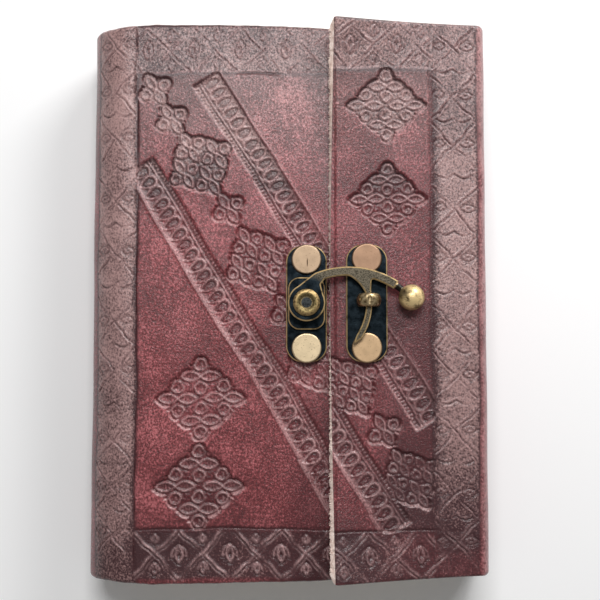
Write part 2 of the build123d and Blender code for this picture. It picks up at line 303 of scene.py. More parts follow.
# %% The strip's outer line
thick = 1.8
half_height = 79.0
front_edge = 52.1
front_level = 24.85
shoulder = -45.475
spine_radius = front_level / 2
fold_start = 53.4
fold_radius = 4.5
flap_level = 27.45
flap_edge = 11.9
lean_in = 1.1  # the fore-edge strip leans in by this much towards its top
strip_top = flap_level - fold_radius
runs = [
    front_edge - shoulder,
    math.pi * spine_radius,
    fold_start - shoulder,
    math.pi / 2 * fold_radius,
    strip_top - fold_radius,
    math.pi / 2 * fold_radius,
    fold_start - flap_edge,
]
stops = np.concatenate([[0.0], np.cumsum(runs)])
front_end, spine_end, back_end, turn_end, strip_end, bend_end, flap_end = stops[1:]


def step(value):
    """A soft step from 0 to 1"""
    t = np.clip(value, 0, 1)
    return t * t * (3 - 2 * t)


def outer_line(s):
    """Place and outward direction across the strip, at distances s from the front cover's free edge"""
    spine = (s - front_end) / spine_radius
    low = (s - back_end) / fold_radius
    high = (s - strip_end) / fold_radius
    where = [s <= front_end, s <= spine_end, s <= back_end, s <= turn_end, s <= strip_end, s <= bend_end]
    zero, one = np.zeros_like(s), np.ones_like(s)
    nx = np.select(where, [zero, -np.sin(spine), zero, np.sin(low), one, np.cos(high)], zero)
    nz = np.select(where, [one, np.cos(spine), -one, -np.cos(low), zero, np.sin(high)], one)
    x = np.select(
        where,
        [
            front_edge - s,
            shoulder + spine_radius * nx,
            shoulder + s - spine_end,
            fold_start + fold_radius * nx,
            fold_start + fold_radius - lean_in * step((s - turn_end) / (strip_end - turn_end)),
            fold_start + (fold_radius - lean_in) * nx,
        ],
        fold_start - (s - bend_end),
    )
    z = np.select(
        where,
        [
            front_level * one,
            spine_radius * (1 + nz),
            zero,
            fold_radius * (1 + nz),
            fold_radius + s - turn_end,
            strip_top + fold_radius * nz,
        ],
        flap_level * one,
    )
    return x, z, nx, nz


cut_at = [-50.6, -37.8, -9.3, 10.6, 52.0]
cut_head = [79.0, 79.85, 79.6, 78.7, 77.5]
cut_foot = [79.85, 80.7, 80.1, 79.6, 77.1]


def trimmed(across, head, foot):
    """The strip isn't cut true: how far it reaches to the head and the foot differs along it"""
    return across * np.where(across > 0, head, foot)


print("the strip is", round(flap_end, 1), "mm long and", 2 * half_height, "mm wide")

# %% [markdown]
# ## The stamps
# A stamp sinks a patch of leather and leaves the lines of its pattern standing. Drawing hundreds of stamped lines
# with extrusions would be slow and would cut the sheet up, so each stamp is a small sum instead: it takes the
# points near it, measures how far each lies from the stamp's lines, and marks them as crest, groove or sunk patch.
# The marks give both the relief and the colour.

# %% Marking the leather
whole = slice(None)  # every point of a sheet


def unmarked(x):
    """Empty layers for as many points as there are in x"""
    return {name: np.zeros_like(x) for name in ("crest", "groove", "sunk", "waxed_and_sheened", "shade")}


def blank(x, y):
    """An untouched stretch of leather, with the places of its points on the flat hide"""
    layers = unmarked(x)
    sway = 0.22 * np.sin(y / 9.0 + 1.3) + 0.12 * np.sin(y / 3.1 + x / 7.0)
    layers["x"] = x + sway
    layers["y"] = y + 0.22 * np.sin(x / 8.0 + 0.4) + 0.12 * np.sin(x / 2.9 - y / 6.0)
    return layers


def under_tool(sheet, at, radius, turn=0.0):
    """The points within a radius, with their offsets along and across a tool turned by an angle"""
    dx, dy = sheet["x"] - at[0], sheet["y"] - at[1]
    near = np.flatnonzero(dx * dx + dy * dy < radius * radius)
    c, s = math.cos(turn), math.sin(turn)
    return near, dx[near] * c + dy[near] * s, dy[near] * c - dx[near] * s


def mark(sheet, layer, near, strength):
    """Adds a mark where it is stronger than what is there"""
    sheet[layer][near] = np.maximum(sheet[layer][near], strength)


def line(distance, width):
    """A soft line: 1 on it, falling away over its width"""
    return np.exp(-((distance / width) ** 2))


def under_line(sheet, start, end, margin):
    """The points near a straight line, with their places along it from its middle and across it, and its length"""
    dx, dy = end[0] - start[0], end[1] - start[1]
    length = math.hypot(dx, dy)
    middle = ((start[0] + end[0]) / 2, (start[1] + end[1]) / 2)
    near, a, b = under_tool(sheet, middle, length / 2 + margin, math.atan2(dy, dx))
    return near, a, b, length


def almond(a, b, length, width):
    """Distance outside a pointed petal that runs from 0 to its length along a"""
    t = np.clip(a / length, 0, 1)
    lean = 2 * width * (1 - 2 * t) / length
    side = (np.abs(b) - 2 * width * t * (1 - t)) / np.sqrt(1 + lean * lean)
    return np.where((a > 0) & (a < length), side, np.hypot(a - t * length, b))


print("tool marks in", len(unmarked(np.zeros(1))), "layers")

# %% [markdown]
# The main stamp is a small four-part flower: two pointed petals with ribs across, and two round loops. Four of them
# make a diamond. The same flower stands alone between the diamonds of the slanting chain.

# %% Flower and diamond stamps
petal_length, petal_width = 5.5, 2.55
loop_reach, loop_radius = 3.4, 1.6
flower_line = 0.26
diamond_flowers = ((-6.65, 0), (6.65, 0), (0, 6.3), (0, -6.3))  # along and across the diamond


def flower(sheet, at, turn, size):
    """One flower, its petals along the turn and its loops across; no two are pressed quite alike"""
    near, a, b = under_tool(sheet, at, 8.0 * size, turn)
    length, width = petal_length * size, petal_width * size
    petals = np.minimum(almond(a, b, length, width), almond(-a, b, length, width))
    drop = np.abs(b) - loop_reach * size
    loops = np.hypot(a * (1.0 + 0.12 * np.sign(drop)), drop) - loop_radius * size
    mark(sheet, "sunk", near, step((1.25 - np.minimum(petals, loops)) / 0.6))
    uneven = np.clip(0.78 + 0.35 * np.sin(0.9 * a + at[0]) * np.sin(0.8 * b + at[1]), 0.35, 1)
    for outline in (petals, loops):
        mark(sheet, "crest", near, uneven * line(outline, flower_line))
        mark(sheet, "groove", near, 0.62 * uneven * line(outline - 0.58, 0.28))
    ribs = (0.5 + 0.5 * np.cos(2 * math.pi * a / 0.85)) * step((-petals - 0.3) / 0.3)
    mark(sheet, "crest", near, 0.30 * uneven * ribs)
    mark(sheet, "groove", near, 0.42 * uneven * step((-petals - 0.35) / 0.3) * (1 - ribs))
    vein = step((0.95 * size - np.abs(drop)) / 0.5)
    mark(sheet, "crest", near, 0.55 * uneven * vein * line(a - 0.35 * size * np.cos(1.6 * drop), 0.24))
    mark(sheet, "groove", near, 0.55 * uneven * step((-loops - 0.45) / 0.4))


def diamond(sheet, at, turn, size):
    """Four flowers pressed together"""
    near, a, b = under_tool(sheet, at, 14 * size, turn)
    inside = 1 - (np.abs(a) / (12.7 * size) + np.abs(b) / (11.6 * size))
    mark(sheet, "sunk", near, step(inside * 12))
    c, s = math.cos(turn), math.sin(turn)
    for along, across in diamond_flowers:
        spot = (at[0] + size * (along * c - across * s), at[1] + size * (along * s + across * c))
        flower(sheet, spot, turn, size)


print("a flower of", 2 * petal_length, "mm")

# %% [markdown]
# The slanting bands are pressed with a bar, again and again along a line: drops in threes, a plain line beside
# them, and a line that is cut across like a rope. The bar never lands quite in line, so the pattern jogs a little.

# %% Slanting bands
drop_pitch = 3.4
three_drops = 10.6
rope_pitch = 1.1
drop_half = 2.6  # half the length of a drop, across the band
plain_line = 3.35  # where the lines run across the band
rope_line = 4.6
rim_line = -3.5


def band(sheet, start, end, side):
    """A ladder of drops in threes from start to end, with its plain line and rope line on one side"""
    near, a, b, length = under_line(sheet, start, end, 8)
    a, b = a + length / 2, b * side
    inside = step(a / 1.2 + 0.5) * step((length - a) / 1.2 + 0.5)
    press = np.floor(a / three_drops)
    b = b + 0.28 * np.sin(2.1 * np.floor(press / 3) + start[1])
    mark(sheet, "sunk", near, inside * step((b + 3.3) / 0.7) * step((5.7 - b) / 0.7))
    along = a - (press + 0.5) * three_drops
    drop = np.clip(np.round(along / drop_pitch), -1, 1)
    offset = along - drop_pitch * drop
    depth = 0.78 + 0.22 * np.sin(5.3 * press + 3.1 * drop + start[0])
    reach = np.hypot(offset / (1.42 + 0.20 * np.clip(b, -2.4, 2.4)), b / drop_half)
    mark(sheet, "crest", near, inside * depth * line((reach - 1) * 1.4, 0.27))
    mark(sheet, "groove", near, 0.9 * inside * line((reach - 0.68) * 1.4, 0.26))
    mark(sheet, "groove", near, 0.62 * inside * step((0.66 - reach) / 0.3))
    bead = np.hypot((offset - 0.3) / 1.2, b / 3.4)
    mark(sheet, "crest", near, 0.5 * inside * depth * step((0.30 - bead) / 0.2))
    mark(sheet, "crest", near, 0.42 * inside * step((reach - 1.2) / 0.3) * line(b + drop_half, 0.6))
    mark(sheet, "groove", near, 0.7 * inside * line(b - plain_line + 0.5, 0.24))
    mark(sheet, "crest", near, 0.65 * inside * line(b - plain_line, 0.26))
    mark(sheet, "groove", near, 0.7 * inside * line(b - plain_line - 0.5, 0.22))
    rope = 0.5 + 0.5 * np.cos(2 * math.pi * (a + 0.2 * b) / rope_pitch)
    mark(sheet, "crest", near, 0.75 * inside * rope * line(b - rope_line, 0.5))
    mark(sheet, "groove", near, 0.6 * inside * (1 - rope) * line(b - rope_line, 0.5))
    mark(sheet, "crest", near, 0.6 * inside * line(b - rim_line, 0.32))


print("drops every", drop_pitch, "mm")

# %% [markdown]
# The borders are pressed last, one X of two crossing lines after another, and hold the most wax, with a painted sheen
# in it. They are worn: in the upright borders little is left but thin dark cuts with a wavy scroll between them, and
# in the lower ones the lines stand up as pale welts with flame-shaped buds between. A dark crease marks the inner
# side.

# %% Border stamps
arm = 6.7


def scored(sheet, start, end, welt, cut, seed):
    """One line pressed by hand: a welt with a cut on its foot side, both uneven along the line; the cut's dark is
    partly painted shade below the welt
    """
    near, a, b, length = under_line(sheet, *sorted((start, end)), 2)
    b = b + 0.24 * np.sin(a / 1.9 + seed) + 0.10 * np.sin(a / 0.7 + 2.3 * seed)
    inside = step((length / 2 - np.abs(a)) / 1.2 + 0.5)
    patchy = 0.66 + 0.35 * np.sin(a / 2.3 + 1.7 * seed) + 0.25 * np.sin(a / 0.9 + 0.9 * seed)
    worn = inside * np.clip(patchy, 0.1, 1)
    mark(sheet, "crest", near, welt * worn * line(b - 0.15, 0.36))
    mark(sheet, "groove", near, cut * worn * line(b + 0.45, 0.22))
    mark(sheet, "crest", near, 0.5 * cut * worn * line(b + 0.85, 0.25))


def scroll(sheet, at, welt, cut, seed):
    """A wavy line of two shallow arcs, hanging towards the foot"""
    near, a, b = under_tool(sheet, at, 7.5)
    reach = 5.4
    sag = b + 1.3 * np.abs(np.sin(math.pi * a / reach)) - 0.5
    worn = step((reach - np.abs(a)) / 1.0) * np.clip(0.65 + 0.45 * np.sin(a / 1.4 + 2.1 * seed), 0.15, 1)
    mark(sheet, "groove", near, cut * worn * line(sag, 0.28))
    mark(sheet, "crest", near, welt * worn * line(sag - 0.5, 0.34))


def bud(sheet, at, turn, size, welt, cut):
    """A flame-shaped bud with two side leaves, growing along the turn"""
    near, a, b = under_tool(sheet, at, 6 * size, turn)
    flame = almond(a + 2.6 * size, b, 5.4 * size, 2.3 * size)
    mark(sheet, "crest", near, welt * line(flame, 0.30))
    mark(sheet, "groove", near, cut * line(flame - 0.5, 0.26))
    mark(sheet, "groove", near, cut * line(b, 0.3 * size) * step((1.2 * size - np.abs(a)) / 0.5))
    for lean in (0.62, -0.62):
        c, s = math.cos(lean), math.sin(lean)
        u, v = (a + 2.6 * size) * c + b * s, b * c - (a + 2.6 * size) * s
        leaf = almond(u, v, 4.3 * size, 1.5 * size)
        mark(sheet, "crest", near, 0.7 * welt * line(leaf, 0.28))
        mark(sheet, "groove", near, 0.6 * cut * line(leaf - 0.45, 0.24))


def border(sheet, edges, crossings, span, upright, press, wax_and_sheen, crease, fade=3.0):
    """A border between two edges: an X at each crossing, scrolls or buds between; it wipes out what lies under it"""
    inner, outer = edges
    low, high = span
    welt, cut = press
    run, reach = ("y", "x") if upright else ("x", "y")
    out = 1 if outer > inner else -1
    depth = (sheet[reach] - inner) * out
    within = step((sheet[run] - low) / 0.8 + 0.5) * step((high - sheet[run]) / 0.8 + 0.5)
    filled = within * step(depth / 0.8)
    drawn = unmarked(sheet["x"])
    drawn["x"], drawn["y"] = sheet["x"], sheet["y"]
    point = (lambda t, d: (d, t)) if upright else (lambda t, d: (t, d))
    centre = (inner + outer) / 2
    near_edge, far_edge = inner + 0.20 * (outer - inner), inner + 0.80 * (outer - inner)
    grow = (0.0 if upright else math.pi / 2) + (0.0 if out > 0 else math.pi)
    for k, t in enumerate(crossings):
        scored(drawn, point(t - arm, inner), point(t + arm, outer), welt, cut, 2.0 * k + inner)
        scored(drawn, point(t + arm, inner), point(t - arm, outer), welt, cut, 2.0 * k + inner + 1)
        bud(drawn, point(t, near_edge), grow + math.pi, 0.42, 0.6 * welt, 0.6 * cut)
        bud(drawn, point(t, far_edge), grow, 0.55, 0.8 * welt, 0.8 * cut)
        if k == 0:
            continue
        between = point((t + crossings[k - 1]) / 2, centre)
        if upright:
            scroll(drawn, between, welt, cut, k)
        else:
            bud(drawn, between, grow, 0.85, welt, cut)
    for layer in ("crest", "groove", "sunk"):
        sheet[layer] = sheet[layer] * (1 - 0.85 * filled) + drawn[layer] * filled
    mark(sheet, "sunk", whole, 0.35 * filled)
    # The grey laid along the border is wax with a painted sheen in it.
    level = np.interp(sheet[run], *wax_and_sheen)
    ends = step((sheet[run] - low) / 3.0 + 0.5) * step((high - sheet[run]) / 3.0 + 0.5)
    spread = ends * step((depth + 1.5) / fade)
    level = level * (1 - 0.93 * step((depth - abs(outer - inner) + 0.5) / 2.0))
    sheet["waxed_and_sheened"] = sheet["waxed_and_sheened"] * (1 - spread) + level * spread
    shown = np.interp(sheet[run], *crease)
    mark(sheet, "groove", whole, within * shown * line(depth + 0.1, 0.34))


print("border lines", 2 * arm, "mm wide at an X")

# %% [markdown]
# ### Layout
# Each stretch of leather gets its own layout, in millimetres on the flat cover or flap. Wax with its painted sheen,
# and creases, are given as pairs of lists: places along a border, and how strong it is there. The front has two
# slanting bands with a chain of diamonds and flowers between them, two upright diamonds, and borders on three sides.

# %% Layout of the front
border_inner = -43.4
border_outer = -56.3
past_both_ends = (-90, 90)
slant = math.radians(-59.0)


def even(level):
    """The same strength all along a border"""
    return [0.0], [level]


def tone_head_to_foot(sheet, stamp_tone, foot_tone):
    """The stamps near the head turn a waxy grey with painted sheen, the panel darkens towards its head and foot
    borders, and the lines fade near the head
    """
    mark(sheet, "waxed_and_sheened", whole, stamp_tone * sheet["sunk"] * step((sheet["y"] - 18) / 32))
    mark(sheet, "waxed_and_sheened", whole, 0.16 * step((sheet["y"] - 54) / 12))
    mark(sheet, "waxed_and_sheened", whole, foot_tone * step((-46 - sheet["y"]) / 20))
    fainter_near_head = 1 - 0.3 * step((sheet["y"] - 40) / 22)
    sheet["groove"] *= fainter_near_head
    sheet["crest"] *= fainter_near_head


def tool_front(sheet):
    """Presses everything on the front; what comes later covers what came before"""
    for at in ((-25.4, 38.8), (-8.5, 10.9), (8.3, -17.6)):
        diamond(sheet, at, slant, 0.84)
    for at in ((-38.1, 60.8), (-33.4, 51.9), (-17.3, 25.7), (-0.1, -3.6), (16.9, -31.6)):
        flower(sheet, at, slant, 0.86)
    band(sheet, (-43.2, 38.1), (24.0, -73.4), 1)
    band(sheet, (-22.9, 64.0), (30.0, -19.6), -1)
    for at in ((-24.9, -28.6), (-25.0, -53.4)):
        diamond(sheet, at, 0.0, 1.0)
    tone_head_to_foot(sheet, 0.95, 0.10)
    # Painted shadow of the flap on the front beside its free edge, deeper towards the foot.
    towards_foot = 0.16 * step((52 - sheet["y"]) / 14) + 0.42 * step((-12 - sheet["y"]) / 30)
    beside_flap = towards_foot * step((sheet["x"] + 3) / 9)
    mark(sheet, "shade", whole, beside_flap)
    mark(sheet, "waxed_and_sheened", whole, 0.08 * step((-32 - sheet["x"]) / 10))
    border(
        sheet,
        edges=(65.3, 79.0),
        crossings=(-47.5, -34.0, -20.5, -7.3, 6.0, 19.0),
        span=(border_inner, 60),
        upright=False,
        press=(0.30, 0.50),
        wax_and_sheen=([-30.0, 8.0], [0.74, 0.62]),
        crease=([-26.0, -20.0, -16.0, -13.0, -3.0, -1.0], [0.1, 0.6, 0.2, 0.9, 0.9, 0.15]),
    )
    border(
        sheet,
        edges=(-65.2, -78.8),
        crossings=(-37.5, -24.0, -8.8, 5.2, 19.0),
        span=(border_inner, 60),
        upright=False,
        press=(1.0, 0.9),
        wax_and_sheen=([-40.0, 5.0], [0.42, 0.36]),
        crease=even(0.9),
    )
    border(
        sheet,
        edges=(border_inner, border_outer),
        crossings=(74.0, 60.5, 46.8, 29.0, 14.0, -6.0, -20.0, -39.5, -53.0, -66.0),
        span=past_both_ends,
        upright=True,
        press=(0.32, 0.9),
        wax_and_sheen=([-75.0, -60.0, -30.0, 20.0, 58.0, 76.0], [0.66, 0.68, 0.86, 0.92, 0.98, 0.86]),
        crease=([-60.0, 20.0, 31.0, 41.0, 45.0, 57.0, 60.0], [0.7, 0.85, 0.35, 0.35, 0.8, 0.7, 0.0]),
    )


print("front laid out")

# %% [markdown]
# The flap carries on the bands and the chain of the front where it lies over them, and has two diamonds and borders
# of its own. Its lower right corner is the darkest, and the fold beside it is rubbed pale from top to bottom.

# %% Layout of the flap
flap_border = (40.9, 53.8)


def tool_flap(sheet):
    """Presses everything on the flap"""
    for at in ((28.3, 54.9), (28.3, 28.1)):
        diamond(sheet, at, 0.0, 0.86)
    for at in ((17.3, -25.0), (34.6, -51.1)):
        diamond(sheet, at, slant, 0.74)
    flower(sheet, (27.1, -37.5), slant, 0.86)
    band(sheet, (22.0, -4.9), (40.6, -34.6), -1)
    band(sheet, (9.0, -32.2), (30.4, -65.4), 1)
    tone_head_to_foot(sheet, 0.76, 0.22)
    dark_corner = step((sheet["x"] - 17) / 16) * step((8 - sheet["y"]) / 16)
    mark(sheet, "waxed_and_sheened", whole, 0.13 * step((50 - sheet["y"]) / 8))
    mark(sheet, "waxed_and_sheened", whole, (0.28 + 0.10 * step((-42 - sheet["y"]) / 16)) * dark_corner)
    mark(sheet, "shade", whole, 0.14 * dark_corner)
    sheet["crest"] *= 1 - dark_corner * (0.3 + 0.3 * step((-30 - sheet["y"]) / 25))
    rubbed_fold = 0.62 * step((sheet["x"] - 54.0) / 2.0) * step((66.0 - sheet["x"]) / 6.0)
    border(
        sheet,
        edges=(65.3, 79.0),
        crossings=(11.5, 24.5, 38.0, 51.0),
        span=(5, flap_border[1]),
        upright=False,
        press=(0.40, 0.6),
        wax_and_sheen=even(0.80),
        crease=even(0.2),
    )
    border(
        sheet,
        edges=(-65.3, -78.6),
        crossings=(15.5, 30.0, 44.3),
        span=(5, flap_border[1]),
        upright=False,
        press=(0.5, 0.75),
        wax_and_sheen=([12.0, 40.0], [0.44, 0.30]),
        crease=even(0.9),
    )
    border(
        sheet,
        edges=flap_border,
        crossings=(72.0, 58.0, 44.0, 25.5, 11.5, -8.0, -21.5, -37.0, -54.5, -68.0),
        span=past_both_ends,
        upright=True,
        press=(0.30, 0.9),
        wax_and_sheen=([-74.0, -60.0, -48.0, -30.0, 0.0, 30.0, 60.0], [0.30, 0.55, 0.76, 0.90, 1.0, 0.96, 0.72]),
        crease=even(0.3),
        fade=5.0,
    )
    mark(sheet, "crest", whole, rubbed_fold)


print("flap laid out")

# %% [markdown]
# The back can't be seen, so it repeats the front's borders all round and has one large diamond. Then the marks
# become height: a stamped patch is two thirds of a millimetre deep, and its lines stand up in it by a little less.

# %% Layout of the back, and the relief
back_far_border = (47.4, 60.3)


def tool_back(sheet):
    """Presses the borders and one diamond on the hidden back"""
    diamond(sheet, (2.0, 0.0), 0.0, 1.3)
    lying = tuple(np.arange(-38.0, 50.0, 13.2))
    standing = tuple(np.arange(-72.0, 79.0, 16.0))
    for edges in ((65.0, 79.0), (-65.0, -79.0)):
        border(sheet, edges, lying, (border_inner, back_far_border[0]), False, (0.6, 0.7), even(0.6), even(0.9))
    for edges in ((border_inner, border_outer), back_far_border):
        border(sheet, edges, standing, past_both_ends, True, (0.4, 0.7), even(0.8), even(0.9))


def relief(sheet, soft=1.0):
    """How far the tooled face stands out from the plain one, in millimetres"""
    x, y = sheet["x"], sheet["y"]
    puff = 0.10 * np.sin(x / 11.0 + 0.7) * np.sin(y / 13.0) + 0.05 * np.sin(x / 4.3 + y / 5.1)
    return soft * (puff - 0.66 * sheet["sunk"] + 0.44 * sheet["crest"] - 0.40 * sheet["groove"]) - 0.05


print("tools ready")

# %% [markdown]
# ## Making a stretch of leather
# Each stretch is a fine grid for the grain side and a coarse grid for the flesh side, both laid along the strip.
# The two are joined and their rims bridged, which gives a closed sheet with a cut edge. A single grid with a
# Solidify modifier would be simpler, but it would spend half of its faces on the plain side.


# %% Laying a grid along the strip
def lay_grid(name, columns, rows, s_of, shape):
    """A grid primitive whose points are moved to where shape puts them; s_of grades its columns"""
    bpy.ops.object.select_all(action="DESELECT")
    bpy.ops.mesh.primitive_grid_add(x_subdivisions=columns, y_subdivisions=rows, size=2.0)
    piece = bpy.context.object
    piece.name = piece.data.name = name
    flat = np.empty(len(piece.data.vertices) * 3)
    piece.data.vertices.foreach_get("co", flat)
    flat = flat.reshape(-1, 3)
    places = shape(s_of((flat[:, 0] + 1) / 2), flat[:, 1])
    piece.data.vertices.foreach_set("co", (np.column_stack(places) * MM).ravel())
    piece.data.update()
    return piece


def graded(stops_s, stops_u):
    """Spreads the columns unevenly: fine where the relief shows and coarse where it is covered"""
    return lambda u: np.interp(u, stops_u, stops_s)


no_edge = 1e9  # stands for a cut edge that a stretch doesn't have


def edge_fall(across, s, s_low, s_high):
    """The small rounding along the cut edges of a stretch"""
    margin = np.minimum(half_height * (1 - np.abs(across)), np.minimum(s - s_low, s_high - s))
    return 0.45 * np.clip(1 - margin / 0.9, 0, 1) ** 2


def ragged(values, seed, size):
    """Repeatable unevenness along a cut edge, from a few waves"""
    rng = np.random.default_rng(seed)
    total = np.zeros_like(values)
    for wave, part in ((23.0, 0.5), (9.0, 0.3), (3.7, 0.2)):
        total += part * np.sin(values / wave * 2 * math.pi + rng.uniform(0, 6.28))
    return size * total


print("grids can be laid on", round(flap_end, 1), "mm of leather")

# %% [markdown]
# The marks go to the points of the mesh as one colour, for the material: red for a crest, green for what is dark,
# blue for wax and its painted sheen. Two things follow from the light in a stamp, and both are painted: its wall that
# faces the head gets a painted highlight, and the leather on the lee side of a sunk patch gets painted shade. The
# sunk patches get painted shade too, more of it towards the foot.


# %% Painting the marks and closing a sheet
def soften(layer, times):
    """Spreads a layer over its neighbours on the grid, again and again"""
    for _ in range(times):
        for axis in (0, 1):
            layer = (np.roll(layer, 1, axis) + 2 * layer + np.roll(layer, -1, axis)) / 4
    return layer


def paint(piece, marks, columns):
    """Stores the tool marks on the points, for the material to read; walls that face the head get a painted
    highlight, and the dark layer gets painted shade
    """
    floor = marks["sunk"].reshape(-1, columns + 1)
    rows_apart = np.gradient(marks["y"].reshape(-1, columns + 1), axis=0)
    columns_apart = np.gradient(marks["x"].reshape(-1, columns + 1), axis=1)
    # Painted shade on the lee side of each sunk patch.
    dip = soften(floor, 16)
    lee = 0.5 * np.gradient(dip, axis=1) / columns_apart - 0.85 * np.gradient(dip, axis=0) / rows_apart
    # Painted highlight on the walls that face the head.
    painted_wall_highlight = np.clip(np.gradient(floor, axis=0) / rows_apart, 0, 1).ravel()
    mark(marks, "crest", whole, 0.8 * painted_wall_highlight * (1 - marks["groove"]))
    layer = piece.data.attributes.new("tooling", "FLOAT_COLOR", "POINT")
    # Painted shade in the sunk patches, more towards the foot, joined by the lee shade and the shade layer.
    painted_sunk_shade = 0.12 + 0.48 * step((-8 - marks["y"]) / 45)
    dark = np.maximum(0.85 * marks["groove"], painted_sunk_shade * marks["sunk"] * (1 - marks["waxed_and_sheened"]))
    dark = np.maximum(dark, 0.85 * np.clip(lee.ravel(), 0, 0.5) * (1 - 0.6 * marks["waxed_and_sheened"]))
    dark = np.maximum(dark, marks["shade"])
    rgba = np.column_stack([marks["crest"], dark, marks["waxed_and_sheened"], np.ones_like(marks["x"])])
    layer.data.foreach_set("color", np.clip(rgba, 0, 1).astype(np.float32).ravel())


def close_sheet(grain_side, flesh_side):
    """Joins the two sides of a stretch, bridges their rims and gives each its material"""
    for side in (grain_side, flesh_side):
        side.data.materials.append(leather)
        side.data.materials.append(hide)
    all_hide = np.ones(len(flesh_side.data.polygons), dtype=np.int32)
    flesh_side.data.polygons.foreach_set("material_index", all_hide)
    bpy.ops.object.select_all(action="DESELECT")
    flesh_side.select_set(True)
    grain_side.select_set(True)
    bpy.context.view_layer.objects.active = grain_side
    bpy.ops.object.join()
    bpy.ops.object.mode_set(mode="EDIT")
    bpy.ops.mesh.select_mode(type="EDGE")
    bpy.ops.mesh.select_all(action="DESELECT")
    bpy.ops.mesh.select_non_manifold()
    bpy.ops.mesh.bridge_edge_loops()
    grain_side.active_material_index = 1
    bpy.ops.object.material_slot_assign()
    bpy.ops.mesh.select_all(action="SELECT")
    bpy.ops.mesh.normals_make_consistent(inside=False)
    bpy.ops.object.mode_set(mode="OBJECT")
    bpy.ops.object.shade_smooth_by_angle(angle=math.radians(62))
    print(grain_side.name, "has", sum(len(p.vertices) - 2 for p in grain_side.data.polygons), "triangles")
    return grain_side


# %% [markdown]
# ### Front cover, spine and back
# The front is stiff and turns with its joint. The rounded shoulder beside it is where the leather gives when the
# cover opens. Its seam with the front lies in the dark crease of the left border, where it can't be seen.

# %% Front cover
rows = 480
flesh_rows = 60
front_count = 190  # columns of the front's grid
crease_s = front_edge - border_inner


def front_place(offset):
    """Where a point of the front or the shoulder lies, at an offset below the grain"""

    def shape(s, across):
        x, z, nx, nz = outer_line(s)
        flat_x = front_edge - s
        y = trimmed(across, np.interp(flat_x, cut_at, cut_head), np.interp(flat_x, cut_at, cut_foot))
        y = y * (1 + ragged(s, 3, 0.12) / half_height)
        marks = blank(flat_x, y)
        tool_front(marks)
        rise = relief(marks) - edge_fall(across, s, 0.0, no_edge)
        front_place.marks = marks
        rise = rise if offset == 0 else -offset * np.ones_like(s)
        return x + nx * rise, y, z + nz * rise

    return shape


front_columns = graded([0.0, 36.0, crease_s], [0.0, 0.08, 1.0])
front = lay_grid("front_cover_hide", front_count, rows, front_columns, front_place(0))
paint(front, front_place.marks, front_count)
front = close_sheet(front, lay_grid("front_flesh", 25, flesh_rows, front_columns, front_place(thick)))
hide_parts("front_cover_leather")
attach(front, "front_cover")

# %% [markdown]
# The shoulder carries on from the front in the same layout, round to the middle of the spine.

# %% Shoulder and upper spine
upper_count = 60
mid_spine = front_end + spine_radius * math.pi / 2
upper_columns = graded([crease_s, mid_spine], [0.0, 1.0])
upper = lay_grid("shoulder_hide", upper_count, rows, upper_columns, front_place(0))
paint(upper, front_place.marks, upper_count)
upper = close_sheet(upper, lay_grid("shoulder_flesh", 12, flesh_rows, upper_columns, front_place(thick)))
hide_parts("spine_leather")
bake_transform(upper)

# %% [markdown]
# The back lies on the table, so its relief is held below the plain face. It takes in the lower half of the spine and
# the foot of the fore-edge strip. Half the rows of the front are enough here.

# %% Lower spine, back and the foot of the fore-edge strip
back_count, back_rows = 200, 240
mid_strip = (turn_end + strip_end) / 2
spine_head, spine_foot = cut_head[0], cut_foot[0]
fold_head, fold_foot = 78.6, 77.75


def back_place(offset):
    """Where a point of the lower spine, the back or the foot of the strip lies"""

    def shape(s, across):
        x, z, nx, nz = outer_line(s)
        share = step((s - spine_end) / (back_end - spine_end))
        head = spine_head + (fold_head - spine_head) * share
        y = trimmed(across, head, spine_foot + (fold_foot - spine_foot) * share)
        marks = blank(shoulder + s - spine_end, y)
        tool_back(marks)
        rise = np.minimum(relief(marks, 0.8) - edge_fall(across, s, -no_edge, no_edge), -0.03)
        back_place.marks = marks
        rise = rise if offset == 0 else -offset * np.ones_like(s)
        return x + nx * rise, y, z + nz * rise

    return shape


back_columns = graded([mid_spine, mid_strip], [0.0, 1.0])
back = lay_grid("back_hide", back_count, back_rows, back_columns, back_place(0))
paint(back, back_place.marks, back_count)
back = close_sheet(back, lay_grid("back_flesh", 50, back_rows // 4, back_columns, back_place(thick)))
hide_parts("back_cover_leather")
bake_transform(back)

# %% [markdown]
# ### Flap
# The flap's middle is held down by the hook, and its two free corners curl up by about five millimetres, so that
# they look larger from above. Its free edge is cut at a slant: the pale flesh side sticks out under the grain side
# and shows as a light, ragged band.

# %% Flap with its upper fold
curl = 5.0
skive = 1.4
skive_middle = 0.2
corner = 2.5
free_head, free_foot = 79.95, 79.56


def flap_place(offset):
    """Where a point of the upper strip, the upper fold or the flap lies"""

    def shape(s, across):
        if offset == 0:
            more = (skive - skive_middle) * (1 - np.abs(across) ** 1.5)
            s = s + more * np.clip((s - bend_end) / (flap_end - skive - bend_end), 0, 1)
        free = s - bend_end
        x, z, nx, nz = outer_line(s)
        share = np.clip(1 - free / (flap_end - bend_end), 0, 1)
        head = free_head + (fold_head - free_head) * share
        y = trimmed(across, head, free_foot + (fold_foot - free_foot) * share)
        round_off = np.clip(corner - (flap_end - s), 0, corner)
        y = y * (1 - (corner - np.sqrt(corner**2 - round_off**2)) / half_height)
        marks = blank(fold_start - free, y)
        tool_flap(marks)
        rise = relief(marks) - edge_fall(across, s, -no_edge, flap_end - skive)
        flap_place.marks = marks
        rise = rise if offset == 0 else -offset * np.ones_like(s)
        lift = curl * np.abs(across) ** 3 * np.clip(free / (flap_end - bend_end), 0, 1) ** 1.6
        return x + nx * rise, y, z + nz * rise + lift

    return shape


